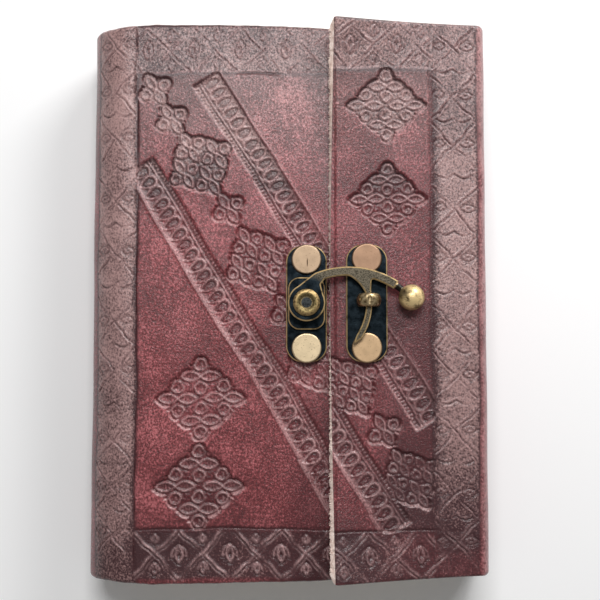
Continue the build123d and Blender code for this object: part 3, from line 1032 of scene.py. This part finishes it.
flap_count, flap_rows = 150, 520
flap_columns = graded([mid_strip, bend_end, flap_end - skive], [0.0, 0.16, 1.0])
flap = lay_grid("flap_hide", flap_count, flap_rows, flap_columns, flap_place(0))
paint(flap, flap_place.marks, flap_count)

# %% [markdown]
# The flesh side of the flap runs on past the grain side as far as the cut is slanted. The points along its rim are
# moved a little at random, so that the cut looks torn, and then the two sides are closed.


# %% Flesh side of the flap
def fringed(u):
    """Columns of the flesh side: the last one runs past the grain side"""
    return np.interp(u, [0.0, 0.2, 1.0], [mid_strip, bend_end, flap_end])


flesh = lay_grid("flap_flesh", 50, flap_rows // 2, fringed, flap_place(thick))
points = np.empty(len(flesh.data.vertices) * 3)
flesh.data.vertices.foreach_get("co", points)
points = points.reshape(-1, 3)
rim = points[:, 0] < points[:, 0].min() + 1.2 * MM
rim &= points[:, 2] > (flap_level - thick - 0.5) * MM
rng = np.random.default_rng(11)
points[rim, 0] += rng.uniform(-0.25, 0.25, rim.sum()) * MM
flesh.data.vertices.foreach_set("co", points.ravel())
flap = close_sheet(flap, flesh)
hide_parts("flap_leather", "fore_edge_leather")
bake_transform(flap)

# %% [markdown]
# Loose fibres hang from the cut. One tuft is a four-sided cone drawn out to a point and bent a little; copies of it
# stand along the edge in many sizes, in small groups with gaps between them.

# %% Fibre tufts on the flap's free edge
bpy.ops.object.select_all(action="DESELECT")
bpy.ops.mesh.primitive_cone_add(vertices=4, radius1=0.16 * MM, radius2=0.02 * MM, depth=1.0 * MM)
tuft = bpy.context.object
bpy.ops.object.mode_set(mode="EDIT")
bpy.ops.mesh.select_all(action="SELECT")
bpy.ops.mesh.subdivide(number_cuts=1)
bpy.ops.object.mode_set(mode="OBJECT")
one = np.empty(len(tuft.data.vertices) * 3)
tuft.data.vertices.foreach_get("co", one)
one = one.reshape(-1, 3) / MM
random.seed(5)
tufts = []
foot = -half_height + 3.0
while foot < half_height - 3.0:
    for _ in range(random.randint(1, 4)):
        y = foot + random.uniform(-0.7, 0.7)
        size = random.uniform(0.25, 0.9)
        turn = random.uniform(-0.9, 0.9)
        droop = random.uniform(-0.3, 0.35)
        ahead = (one[:, 2] + 0.35) * size
        side = one[:, 0] * random.uniform(0.7, 1.6) + 0.3 * np.sin(turn) * ahead**2
        x = flap_edge - ahead * math.cos(turn) + random.uniform(0.1, 0.5)
        lift = curl * abs(y / half_height) ** 3
        z = flap_level - random.uniform(0.9, 1.7) + lift + one[:, 1] - droop * ahead
        copy = tuft.copy()
        copy.data = tuft.data.copy()
        scene.collection.objects.link(copy)
        where = np.column_stack([x + 0 * side, y + side - ahead * math.sin(turn), z])
        copy.data.vertices.foreach_set("co", (where * MM).ravel())
        tufts.append(copy)
    foot += random.uniform(0.5, 2.4)
bpy.data.objects.remove(tuft)
bpy.ops.object.select_all(action="DESELECT")
for copy in tufts:
    copy.select_set(True)
bpy.context.view_layer.objects.active = tufts[0]
bpy.ops.object.join()
fibres = bpy.context.object
bpy.ops.object.mode_set(mode="EDIT")
bpy.ops.mesh.select_all(action="SELECT")
bpy.ops.mesh.normals_make_consistent(inside=False)
bpy.ops.object.mode_set(mode="OBJECT")
bpy.ops.object.transform_apply(location=True, rotation=True, scale=True)
fibres.name = fibres.data.name = "flap_edge_fibres"
fibres.data.materials.append(hide)
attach(fibres, "flap")
print(len(tufts), "tufts")

# %% [markdown]
# ## Paper
# Handmade cotton paper, cream, with torn (deckle) edges. The block is six sections, each of folded sheets laid
# inside one another, so at head and foot the folds show as nested loops. Solid blocks with a striped texture would
# look flat there, so each sheet is a real folded strip, made from a grid that is bent along a hairpin line.

# %% Cotton paper
paper, tree, shader = new_finish("handmade_cotton_paper")
place = node(tree, "TexCoord").outputs["Object"]
pulp = node(tree, "TexNoise", {"Vector": place, "Scale": per_metre(7), "Detail": 6.0, "Roughness": 0.65})
strands = node(tree, "TexNoise", {"Vector": place, "Scale": per_metre(0.7), "Detail": 4.0, "Roughness": 0.6})
tone = node(tree, "ValToRGB", {"Fac": pulp.outputs["Fac"]})
tone.color_ramp.elements[0].position = 0.3
tone.color_ramp.elements[0].color = linear("#d9cbb0")
tone.color_ramp.elements[1].position = 0.7
tone.color_ramp.elements[1].color = linear("#efe6d2")
fleck = node(
    tree,
    "MapRange",
    {"Value": strands.outputs["Fac"], "From Min": 0.63, "From Max": 0.72, "To Max": 0.35},
)
flecked = node(
    tree,
    "MixRGB",
    {"Fac": fleck.outputs["Result"], "Color1": tone.outputs["Color"], "Color2": linear("#a88f68")},
)
tree.links.new(flecked.outputs["Color"], shader.inputs["Base Color"])
tooth = node(tree, "Bump", {"Strength": 0.4, "Distance": 0.06 * MM, "Height": strands.outputs["Fac"]})
tree.links.new(tooth.outputs["Normal"], shader.inputs["Normal"])
shader.inputs["Roughness"].default_value = 0.9
print("made", paper.name)

# %% [markdown]
# A sheet is a laid grid with a thickness from Solidify, and its edges are torn, not cut: they wander by a few tenths
# of a millimetre, in slow waves with finer ones on them.


# %% Torn sheets
def thicken(piece, thickness):
    """Gives a laid grid its thickness and smooths its faces"""
    bpy.ops.object.select_all(action="DESELECT")
    piece.select_set(True)
    bpy.context.view_layer.objects.active = piece
    body = piece.modifiers.new("thickness", "SOLIDIFY")
    body.thickness = thickness * MM
    body.offset = 0.0
    bpy.ops.object.modifier_apply(modifier=body.name)
    bpy.ops.object.mode_set(mode="EDIT")
    bpy.ops.mesh.select_all(action="SELECT")
    bpy.ops.mesh.normals_make_consistent(inside=False)
    bpy.ops.object.mode_set(mode="OBJECT")
    bpy.ops.object.shade_smooth_by_angle(angle=math.radians(40))
    return piece


def deckle(values, seed):
    """A torn paper edge: slow waves with finer ones on them"""
    rng = np.random.default_rng(seed)
    torn = np.zeros_like(values)
    for wave, size in ((31.0, 0.16), (11.0, 0.12), (4.7, 0.10), (2.3, 0.05)):
        torn += size * np.sin(values * 2 * math.pi / wave + rng.uniform(0, 6.28))
    return torn


print("torn sheets can be made")

# %% [markdown]
# A section is six sheets folded in the middle and laid inside one another, so the inner ones bend more tightly.
# Each folded sheet is one grid that runs from its lower fore-edge round the fold to its upper one.

# %% Folded sheets of the sections
page_half = 75.0
sheets_in_section = 6
sheet_thick = 0.19
fore_margin = 0.45  # a sheet stops this far short of its section's fore-edge
for number in range(1, 7):
    low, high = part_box(f"section_{number}")
    fold_x, fore_x = low[0] / MM, high[0] / MM
    z_mid = (low[2] + high[2]) / 2 / MM
    half = (high[2] - low[2]) / 2 / MM
    sheets = []
    for inner in range(sheets_in_section):
        radius = half * (1 - (inner + 0.5) / sheets_in_section)
        leg = fore_x - fore_margin - (fold_x + half)
        bend = math.pi * radius

        def hairpin(s, across, radius=radius, leg=leg, bend=bend, seed=number * 40 + inner):
            """A point of one folded sheet, from its lower fore-edge round the fold to its upper one"""
            angle = np.clip((s - leg) / radius, 0, math.pi)
            straight = np.where(s < leg, leg - s, np.maximum(s - leg - bend, 0))
            x = fold_x + half + straight - radius * np.sin(angle)
            z = z_mid - radius * np.cos(angle)
            y = across * page_half
            at_fore = np.maximum(1 - s / 2.0, 1 - (2 * leg + bend - s) / 2.0).clip(0, 1)
            x = x + at_fore * (deckle(y, seed) + np.where(s < leg, 0.1, -0.1))
            y = y + across**15 * (deckle(x, seed + 7) * 0.8 - 0.25 * np.sign(across))
            return x, y, z

        total = 2 * leg + bend
        columns = graded([0, 2.0, leg, leg + bend, total - 2.0, total], [0, 0.08, 0.28, 0.72, 0.92, 1])
        sheets.append(thicken(lay_grid("folded_sheet", 25, 70, columns, hairpin), sheet_thick))
    bpy.ops.object.select_all(action="DESELECT")
    for sheet in sheets:
        sheet.select_set(True)
    bpy.context.view_layer.objects.active = sheets[0]
    bpy.ops.object.join()
    section = bpy.context.object
    section.name = section.data.name = f"section_{number}_sheets"
    section.data.materials.append(paper)
    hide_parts(f"section_{number}")
    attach(section, "book")
print("six sections of", sheets_in_section, "folded sheets")

# %% [markdown]
# Each of the first five leaves is a single flat sheet with torn edges, laid where its solid lies.

# %% Loose leaves
gutter = -44.2
leaf_thick = 0.21
for number, name in enumerate(("front_flyleaf", "leaf_1", "leaf_2", "leaf_3", "leaf_4")):
    low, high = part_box(name)
    level = (low[2] + high[2]) / 2 / MM
    fore = high[0] / MM

    def leaf_place(s, across, level=level, fore=fore, seed=500 + number * 20):
        """A point of a flat leaf with torn edges"""
        y = across * page_half
        x = s + np.clip((s - fore + 2) / 2, 0, 1) * (deckle(y, seed) - 0.35)
        y = y + across**15 * (deckle(x, seed + 3) * 0.8 - 0.25 * np.sign(across))
        return x, y, np.full_like(x, level)

    columns = graded([gutter, gutter + 8, fore - 2, fore], [0, 0.45, 0.9, 1])
    leaf = thicken(lay_grid(name + "_sheet", 36, 80, columns, leaf_place), leaf_thick)
    leaf.data.materials.append(paper)
    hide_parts(name)
    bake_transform(leaf)
print("five loose leaves")

# %% [markdown]
# ### Linings
# A heavier sheet of the same kind of paper, dyed a warm grey brown, is pasted inside each cover and hides the
# flesh side of the leather.

# %% Lining paper
lining_paper, tree, shader = new_finish("pasted_lining_paper")
place = node(tree, "TexCoord").outputs["Object"]
vat = node(tree, "TexNoise", {"Vector": place, "Scale": per_metre(12), "Detail": 6.0, "Roughness": 0.7})
weft = node(tree, "TexNoise", {"Vector": place, "Scale": per_metre(0.8), "Detail": 4.0})
dyed = node(tree, "ValToRGB", {"Fac": vat.outputs["Fac"]})
dyed.color_ramp.elements[0].position = 0.3
dyed.color_ramp.elements[0].color = linear("#6d5344")
dyed.color_ramp.elements[1].position = 0.7
dyed.color_ramp.elements[1].color = linear("#8c6f5c")
tree.links.new(dyed.outputs["Color"], shader.inputs["Base Color"])
rough = node(tree, "Bump", {"Strength": 0.5, "Distance": 0.08 * MM, "Height": weft.outputs["Fac"]})
tree.links.new(rough.outputs["Normal"], shader.inputs["Normal"])
shader.inputs["Roughness"].default_value = 0.85
for name, body in (("back_lining", "book"), ("front_lining", "front_cover")):
    low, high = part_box(name)

    def lining_place(s, across, low=low, high=high, seed=len(name)):
        """A point of a pasted sheet with a slightly uneven cut"""
        y = across * (high[1] / MM + np.abs(across) ** 9 * deckle(s, seed) * 0.6 - 0.1)
        return s, y, np.full_like(s, (low[2] + high[2]) / 2 / MM)

    columns = graded([low[0] / MM + 0.1, high[0] / MM - 0.1], [0, 1])
    lining = thicken(lay_grid(name + "_sheet", 40, 50, columns, lining_place), (high[2] - low[2]) / MM - 0.02)
    lining.data.materials.append(lining_paper)
    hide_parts(name)
    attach(lining, body)
print("two linings")

# %% [markdown]
# ### Thread and cloth on the sewn back
# Four runs of waxed linen thread hold the sections, and a strip of open cloth is glued over them. Both follow the
# rounded back. The thread is two plies laid round each other, which a plain tube would not show.

# %% Linen thread
linen, tree, shader = new_finish("waxed_linen_thread")
place = node(tree, "TexCoord").outputs["Object"]
flax = node(tree, "TexNoise", {"Vector": place, "Scale": per_metre(0.3), "Detail": 3.0})
spun = node(tree, "ValToRGB", {"Fac": flax.outputs["Fac"]})
spun.color_ramp.elements[0].color = linear("#b7a381")
spun.color_ramp.elements[1].color = linear("#e6dabf")
tree.links.new(spun.outputs["Color"], shader.inputs["Base Color"])
shader.inputs["Roughness"].default_value = 0.7
low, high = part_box("sewing_thread")
thread_width = 0.8
ply_offset = 0.19
ply_points = 60
rise = (high[2] - low[2]) / 2 / MM - thread_width / 2
thread_x = low[0] / MM + thread_width / 2
depth = (high[0] - low[0]) / MM - thread_width
bow = (rise**2 + depth**2) / (2 * depth)
middle_z = (low[2] + high[2]) / 2 / MM
half_turn = math.asin(min(1.0, rise / bow))
stations = 4
station_y = np.linspace(low[1] / MM + thread_width / 2, high[1] / MM - thread_width / 2, stations)
plies = bpy.data.curves.new("thread_plies", "CURVE")
plies.dimensions = "3D"
plies.bevel_depth = 0.2 * MM
plies.bevel_resolution = 2
for y in station_y:
    for ply in (0.0, math.pi):
        spline = plies.splines.new("POLY")
        spline.points.add(ply_points)
        for k, point in enumerate(spline.points):
            angle = half_turn * (2 * k / ply_points - 1)
            twist = ply + k * 0.55
            out = bow + ply_offset * math.cos(twist)
            point.co = (
                (thread_x + bow - out * math.cos(angle)) * MM,
                (y + ply_offset * math.sin(twist)) * MM,
                (middle_z + out * math.sin(angle)) * MM,
                1.0,
            )
plies.use_fill_caps = True
cords = bpy.data.objects.new("sewing_thread_plies", plies)
scene.collection.objects.link(cords)
bpy.ops.object.select_all(action="DESELECT")
cords.select_set(True)
bpy.context.view_layer.objects.active = cords
bpy.ops.object.convert(target="MESH")
cords = bpy.context.object
cords.data.materials.append(linen)
bpy.ops.object.shade_smooth()
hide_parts("sewing_thread")
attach(cords, "book")
print(stations, "runs of thread")

# %% [markdown]
# The cloth is an open cotton weave with threads about 0.7 mm apart. It could be woven strand by strand, but it is
# hidden under the spine, so a thin sheet with a woven pattern is enough. It lies on the two middle sections.

# %% Backing cloth
weave_pitch = 0.7
mull, tree, shader = new_finish("open_backing_cloth")
place = node(tree, "TexCoord").outputs["Object"]
wave_scale = per_metre(weave_pitch) / 3.2  # a Wave texture repeats about 3.2 times per unit of its scale
along = node(tree, "TexWave", {"Vector": place, "Scale": wave_scale}, bands_direction="Y")
across_weave = node(tree, "TexWave", {"Vector": place, "Scale": wave_scale}, bands_direction="Z")
woven = node(tree, "Math", {0: along.outputs["Fac"], 1: across_weave.outputs["Fac"]}, operation="MAXIMUM")
cotton = node(tree, "ValToRGB", {"Fac": woven.outputs["Value"]})
cotton.color_ramp.elements[0].color = linear("#a89a83")
cotton.color_ramp.elements[1].color = linear("#ded3bd")
tree.links.new(cotton.outputs["Color"], shader.inputs["Base Color"])
weave = node(tree, "Bump", {"Strength": 0.7, "Distance": 0.15 * MM, "Height": woven.outputs["Value"]})
tree.links.new(weave.outputs["Normal"], shader.inputs["Normal"])
shader.inputs["Roughness"].default_value = 0.95
low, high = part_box("spine_cloth")
cloth_half_z = (high[2] - low[2]) / 2 / MM
cloth_z = (low[2] + high[2]) / 2 / MM
cloth_thick = 0.3
hem = 0.3  # the cloth stops this far short of its solid at head and foot
cloth_bow = bow + thread_width / 2 + cloth_thick
cloth_x = low[0] / MM + 0.2
cloth_turn = math.asin((cloth_half_z - 0.15) / cloth_bow)
cloth_length = (high[1] - low[1]) / MM


def cloth_place(s, across):
    """A point of the cloth on the rounded back"""
    angle = s / cloth_bow
    fray = deckle(s, 31) * 0.5 * np.abs(across) ** 9
    return (
        cloth_x + cloth_bow - cloth_bow * np.cos(angle),
        across * (cloth_length / 2 - hem + fray),
        cloth_z + cloth_bow * np.sin(angle),
    )


cloth_columns = graded([-cloth_turn * cloth_bow, cloth_turn * cloth_bow], [0, 1])
cloth = thicken(lay_grid("backing_cloth_strip", 24, 90, cloth_columns, cloth_place), cloth_thick)
cloth.data.materials.append(mull)
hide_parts("spine_cloth")
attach(cloth, "book")
print("cloth of", round(2 * cloth_turn * cloth_bow, 1), "by", round(cloth_length - 0.6, 1), "mm")

# %% [markdown]
# ## Clasp
# The plates and the hook are cast and blackened, then tumbled. The flats of the plates stay a blue-black, the arm is
# worn to a pitted grey-brown, the ball to gold, and every edge is rubbed bright. On the solids the edges are bevels,
# so they are the faces that look neither up nor sideways, and their normal tells them from the rest. Where a colour
# belongs to one place on the clasp, its distance from there tells, measured as seen from above.

# %% Places and edges on the clasp
pivot = (5.4, -1.6)
ball = (34.7, -0.2)
neck_foot = (31.6, 1.2)


def away_from(tree, place, spot):
    """How far a point lies from a spot on the part, seen from above"""
    flat = node(tree, "VectorMath", {0: place, 1: (1.0, 1.0, 0.0)}, operation="MULTIPLY")
    target = (spot[0] * MM, spot[1] * MM, 0.0)
    away = node(tree, "VectorMath", {0: flat.outputs["Vector"], 1: target}, operation="DISTANCE")
    return away.outputs["Value"]


def rubbed_edges(tree, coords, patchy):
    """1 on bevels, 0 on flats and upright walls, broken up by a patchy wear"""
    up = node(tree, "SeparateXYZ", {"Vector": coords["Normal"]}).outputs["Z"]
    lean = node(tree, "MapRange", {"Value": up, "From Min": 0.25, "From Max": 0.5})
    flat = node(tree, "MapRange", {"Value": up, "From Min": 0.985, "From Max": 0.93})
    bevel = node(tree, "Math", {0: lean.outputs["Result"], 1: flat.outputs["Result"]}, operation="MULTIPLY")
    return node(tree, "Math", {0: bevel.outputs["Value"], 1: patchy}, operation="MULTIPLY").outputs["Value"]


print("the ball is", round(math.dist(pivot, ball), 1), "mm from the pivot")

# %% [markdown]
# ### Blackened bronze
# One material serves the plates and the hook, because they share one finish. It starts from the two kinds of flat:
# blue-black on the plates, and pitted grey-brown on the arm, which stands higher than the plates.

# %% Flats of the bronze
bronze, tree, shader = new_finish("blackened_antique_bronze")
coords = node(tree, "TexCoord").outputs
place = coords["Object"]
flow = node(tree, "TexNoise", {"Vector": place, "Scale": per_metre(2.2), "Detail": 5.0, "Roughness": 0.65})
fine = node(tree, "TexNoise", {"Vector": place, "Scale": per_metre(0.32), "Detail": 3.0})
black = node(tree, "ValToRGB", {"Fac": flow.outputs["Fac"]})
black.color_ramp.elements[0].position = 0.38
black.color_ramp.elements[0].color = linear("#0f1519")
black.color_ramp.elements[1].position = 0.70
black.color_ramp.elements[1].color = linear("#2b343a")
worn = node(tree, "ValToRGB", {"Fac": fine.outputs["Fac"]})
worn.color_ramp.elements[0].position = 0.38
worn.color_ramp.elements[0].color = linear("#39342b")
worn.color_ramp.elements[1].position = 0.56
worn.color_ramp.elements[1].color = linear("#736b5c")
arm_share = node(
    tree,
    "MapRange",
    {"Value": away_from(tree, place, pivot), "From Min": 6.5 * MM, "From Max": 9.0 * MM},
)
up_high = node(tree, "SeparateXYZ", {"Vector": place}).outputs["Z"]
on_hook = node(tree, "MapRange", {"Value": up_high, "From Min": 29.0 * MM, "From Max": 29.6 * MM})
arm_wear = node(
    tree,
    "Math",
    {0: arm_share.outputs["Result"], 1: on_hook.outputs["Result"]},
    operation="MULTIPLY",
)
flats = node(
    tree,
    "MixRGB",
    {"Fac": arm_wear.outputs["Value"], "Color1": black.outputs["Color"], "Color2": worn.outputs["Color"]},
)
print("two kinds of flat on", bronze.name)

# %% [markdown]
# The edges come next, rubbed to the metal. Fingers keep the ball gold; round its rim it darkens, partly brown patina
# and partly painted shade, and painted shade makes the neck and the place where the neck meets the ball nearly black.

# %% Edges and ball of the bronze
patchy = node(tree, "MapRange", {"Value": flow.outputs["Fac"], "From Min": 0.35, "From Max": 0.5, "To Min": 0.45})
edge = rubbed_edges(tree, coords, patchy.outputs["Result"])
edged = node(tree, "MixRGB", {"Fac": edge, "Color1": flats.outputs["Color"], "Color2": linear("#cdb07c")})
ball_off = away_from(tree, place, ball)
# Painted shade on the neck round the ball.
near_ball = node(tree, "MapRange", {"Value": ball_off, "From Min": 5.7 * MM, "From Max": 5.2 * MM})
neck_shaded = node(
    tree,
    "MixRGB",
    {"Fac": near_ball.outputs["Result"], "Color1": edged.outputs["Color"], "Color2": linear("#15120d")},
)
gold = node(tree, "ValToRGB", {"Fac": flow.outputs["Fac"]})
gold.color_ramp.elements[0].position = 0.31
gold.color_ramp.elements[0].color = linear("#503c20")
gold.color_ramp.elements[1].position = 0.49
gold.color_ramp.elements[1].color = linear("#f4d69c")
# The ball's rim: partly brown patina, partly painted shade; where the neck meets it, painted shade.
ball_rim_patina_and_shade = node(tree, "MapRange", {"Value": ball_off, "From Min": 2.8 * MM, "From Max": 3.7 * MM, "To Max": 0.55})
neck_painted_shade = node(
    tree,
    "MapRange",
    {"Value": away_from(tree, place, neck_foot), "From Min": 2.6 * MM, "From Max": 1.0 * MM, "To Max": 0.8},
)
rim_patina_and_neck_shade = node(
    tree,
    "Math",
    {0: ball_rim_patina_and_shade.outputs["Result"], 1: neck_painted_shade.outputs["Result"]},
    operation="MAXIMUM",
)
rubbed_gold_and_shade = node(
    tree,
    "MixRGB",
    {"Fac": rim_patina_and_neck_shade.outputs["Value"], "Color1": gold.outputs["Color"], "Color2": linear("#2b1d0f")},
)
on_ball = node(tree, "MapRange", {"Value": ball_off, "From Min": 3.75 * MM, "From Max": 3.6 * MM})
finished = node(
    tree,
    "MixRGB",
    {"Fac": on_ball.outputs["Result"], "Color1": neck_shaded.outputs["Color"], "Color2": rubbed_gold_and_shade.outputs["Color"]},
)
tree.links.new(finished.outputs["Color"], shader.inputs["Base Color"])
print("edges and ball on", bronze.name)

# %% [markdown]
# A blackened flat is a full metal and mirrors what is round it. The rubbed edges and the ball would then go dark
# wherever no lamp is mirrored, so they are made less metallic and keep their gold. The casting leaves a fine pitting.

# %% Sheen of the bronze
rubbed_places = node(tree, "Math", {0: on_ball.outputs["Result"], 1: edge}, operation="MAXIMUM")
metal_share = node(tree, "MapRange", {"Value": rubbed_places.outputs["Value"], "To Min": 1.0, "To Max": 0.45})
tree.links.new(metal_share.outputs["Result"], shader.inputs["Metallic"])
smooth_flat = node(
    tree,
    "MapRange",
    {"Value": fine.outputs["Fac"], "From Min": 0.3, "From Max": 0.7, "To Min": 0.42, "To Max": 0.30},
)
tree.links.new(smooth_flat.outputs["Result"], shader.inputs["Roughness"])
cast = node(tree, "Bump", {"Strength": 0.35, "Distance": 0.10 * MM, "Height": fine.outputs["Fac"]})
tree.links.new(cast.outputs["Normal"], shader.inputs["Normal"])
print("made", bronze.name)

# %% [markdown]
# ### Brass of the loop and the pivot
# The catch loop is a beige brass with brown tarnish in patches. The hook turns on the pivot rivet, whose head is worn
# in rings: a dark dimple, a dull face and a brighter rim. A ramp over the distance from its middle gives the rings.

# %% Loop brass and rivet rings
ring_reach = 4.0  # millimetres from the pivot to the end of the ramp
brass, tree, shader = new_finish("rubbed_antique_brass")
place = node(tree, "TexCoord").outputs["Object"]
tarnish = node(tree, "TexNoise", {"Vector": place, "Scale": per_metre(0.9), "Detail": 5.0, "Roughness": 0.6})
beige = node(tree, "ValToRGB", {"Fac": tarnish.outputs["Fac"]})
beige.color_ramp.elements[0].position = 0.36
beige.color_ramp.elements[0].color = linear("#6a563a")
beige.color_ramp.elements[1].position = 0.56
beige.color_ramp.elements[1].color = linear("#d6be94")
tree.links.new(beige.outputs["Color"], shader.inputs["Base Color"])
shader.inputs["Metallic"].default_value = 1.0
shader.inputs["Roughness"].default_value = 0.38

ringed, tree, shader = new_finish("worn_pivot_brass")
place = node(tree, "TexCoord").outputs["Object"]
specks = node(tree, "TexNoise", {"Vector": place, "Scale": per_metre(0.6), "Detail": 3.0})
out = away_from(tree, place, pivot)
ring_share = node(tree, "Math", {0: out, 1: per_metre(ring_reach)}, operation="MULTIPLY")
rings = node(tree, "ValToRGB", {"Fac": ring_share.outputs["Value"]})
rings.color_ramp.elements[0].position = 0.34
rings.color_ramp.elements[0].color = linear("#3f4243")
rings.color_ramp.elements[1].position = 0.74
rings.color_ramp.elements[1].color = linear("#b59a6c")
for stop, shade_hex in ((0.42, "#8f7d58"), (0.68, "#84744f")):
    rings.color_ramp.elements.new(stop).color = linear(shade_hex)
pitted = node(
    tree,
    "MapRange",
    {"Value": specks.outputs["Fac"], "From Min": 0.36, "From Max": 0.5, "To Min": 0.35},
)
pitted_rings = node(
    tree,
    "MixRGB",
    {"Fac": 1.0, "Color1": rings.outputs["Color"], "Color2": pitted.outputs["Result"]},
    blend_type="MULTIPLY",
)
tree.links.new(pitted_rings.outputs["Color"], shader.inputs["Base Color"])
shader.inputs["Metallic"].default_value = 1.0
shader.inputs["Roughness"].default_value = 0.5
print("made", brass.name, "and", ringed.name)

# %% [markdown]
# ### Rivet caps
# The four caps are thin pressed brass, each in a tone of its own. They share one material that picks the tone by the
# nearest cap. It has fine dark pits, painted shade on its turned rim and, on one cap, a scratch.

# %% Cap brass
cap_brass, tree, shader = new_finish("scratched_cap_brass")
coords = node(tree, "TexCoord").outputs
place = coords["Object"]
patina = node(tree, "TexNoise", {"Vector": place, "Scale": per_metre(2.4), "Detail": 4.0})
pits = node(tree, "TexNoise", {"Vector": place, "Scale": per_metre(0.4), "Detail": 2.0})


def cap_places(heads):
    """The middles of a plate's upper and lower cap, in millimetres"""
    low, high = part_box(heads)
    radius = (high[0] - low[0]) / 2
    x = (low[0] + high[0]) / 2
    return (x / MM, (high[1] - radius) / MM), (x / MM, (low[1] + radius) / MM)


front_lower = cap_places("front_rivet_heads")[1]
flap_upper, flap_lower = cap_places("flap_rivet_heads")
cap_tone = linear("#b39a80")
for spot, shade_hex in ((flap_upper, "#a4846c"), (front_lower, "#e8d2ad"), (flap_lower, "#d2b28c")):
    on_cap = node(
        tree,
        "MapRange",
        {"Value": away_from(tree, place, spot), "From Min": 4.8 * MM, "From Max": 4.5 * MM},
    )
    cap_tone = node(
        tree,
        "MixRGB",
        {"Fac": on_cap.outputs["Result"], "Color1": cap_tone, "Color2": linear(shade_hex)},
    ).outputs["Color"]
faded = node(tree, "MapRange", {"Value": patina.outputs["Fac"], "From Min": 0.3, "From Max": 0.7, "To Min": 0.8})
satin = node(
    tree,
    "MixRGB",
    {"Fac": 1.0, "Color1": cap_tone, "Color2": faded.outputs["Result"]},
    blend_type="MULTIPLY",
)
dots = node(tree, "MapRange", {"Value": pits.outputs["Fac"], "From Min": 0.36, "From Max": 0.30, "To Max": 0.55})
dotted = node(
    tree,
    "MixRGB",
    {"Fac": dots.outputs["Result"], "Color1": satin.outputs["Color"], "Color2": linear("#6d5b43")},
)
print("caps in four tones")

# %% [markdown]
# The scratch is a long thin spot: distances are squeezed more along it than across it, so a round spot is drawn out.
# The rim of a cap is turned down, so there the normal leans, and painted shade darkens it.

# %% Scratch and rim of the caps
scratch_at = (5.62, 10.11)
scratch_half = (0.17, 1.35)
to_scratch = node(
    tree, "VectorMath", {0: place, 1: (scratch_at[0] * MM, scratch_at[1] * MM, 0.0)}, operation="SUBTRACT"
)
squeezed = node(
    tree,
    "VectorMath",
    {0: to_scratch.outputs["Vector"], 1: (1 / (scratch_half[0] * MM), 1 / (scratch_half[1] * MM), 0.0)},
    operation="MULTIPLY",
)
nearness = node(tree, "VectorMath", {0: squeezed.outputs["Vector"]}, operation="LENGTH")
scratch = node(tree, "MapRange", {"Value": nearness.outputs["Value"], "From Min": 1.1, "From Max": 0.6})
scratched = node(
    tree,
    "MixRGB",
    {"Fac": scratch.outputs["Result"], "Color1": dotted.outputs["Color"], "Color2": linear("#3a2a1c")},
)
# Painted shade on the turned rim of each cap.
up = node(tree, "SeparateXYZ", {"Vector": coords["Normal"]}).outputs["Z"]
turned = node(tree, "MapRange", {"Value": up, "From Min": 0.86, "From Max": 0.45, "To Max": 0.8})
rim_shaded = node(
    tree,
    "MixRGB",
    {"Fac": turned.outputs["Result"], "Color1": scratched.outputs["Color"], "Color2": linear("#5e4a2f")},
)
tree.links.new(rim_shaded.outputs["Color"], shader.inputs["Base Color"])
shader.inputs["Metallic"].default_value = 1.0
shader.inputs["Roughness"].default_value = 0.46
print("made", cap_brass.name)

# %% [markdown]
# The clasp's solids are exact already, with their bevels and bores, so they are kept and only get their finishes.

# %% The clasp's solids get their finishes
metals = {
    "pivot_plate": bronze,
    "catch_plate": bronze,
    "swing_hook": bronze,
    "pivot_rivet": ringed,
    "catch_loop": brass,
    "front_rivet_heads": cap_brass,
    "front_rivet_caps": cap_brass,
    "flap_rivet_heads": cap_brass,
    "flap_rivet_caps": cap_brass,
}
for name, metal in metals.items():
    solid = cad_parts[name]
    if not solid.material_slots:
        solid.data.materials.append(metal)
    for slot in solid.material_slots:
        slot.material = metal
print("metal on", len(metals), "solids")

# %% [markdown]
# ## Table and light
# A white table, two soft lamps beyond the head of the book and an even white sky. The higher lamp gives the grey
# sheen on the upper half of the cover. The lower one rakes over it and shades the stamped lines from above.

# %% Table
bpy.ops.object.select_all(action="DESELECT")
bpy.ops.mesh.primitive_plane_add(size=6.0)
table = bpy.context.object
table.name = "table"
white, tree, shader = new_finish("white_table")
shader.inputs["Base Color"].default_value = linear("#fafafa")
shader.inputs["Roughness"].default_value = 0.9
table.data.materials.append(white)
table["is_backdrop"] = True
print("made", white.name)

# %% [markdown]
# The lamps are rectangles of light that face the book. A sun would give hard shadows, and the sky alone would show
# no relief.

# %% Lamps
sky = bpy.data.worlds.new("studio")
scene.world = sky
sky.use_nodes = True
sky.node_tree.nodes["Background"].inputs["Color"].default_value = (1, 1, 1, 1)
sky.node_tree.nodes["Background"].inputs["Strength"].default_value = 0.24


def lamp(name, place, power, width, height):
    """A soft rectangular lamp that faces the book"""
    data = bpy.data.lights.new(name, "AREA")
    data.shape = "RECTANGLE"
    data.size, data.size_y = width, height
    data.energy = power
    made = bpy.data.objects.new(name, data)
    scene.collection.objects.link(made)
    made.location = place
    made.rotation_euler = (-made.location).to_track_quat("-Z", "Y").to_euler()
    return made


lamp("head_lamp", (0.0, 0.35, 0.70), 3.6, 0.35, 0.20)
lamp("raking_lamp", (0.28, 0.46, 0.27), 2.2, 0.25, 0.12)
print("two lamps and a white sky")

# %% [markdown]
# ## Boxes
# The box round everything that is shown, apart from the table, is printed.

# %% Boxes and finish
bpy.context.view_layer.update()
low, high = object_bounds()
print("visual from", tuple(low), "to", tuple(high))
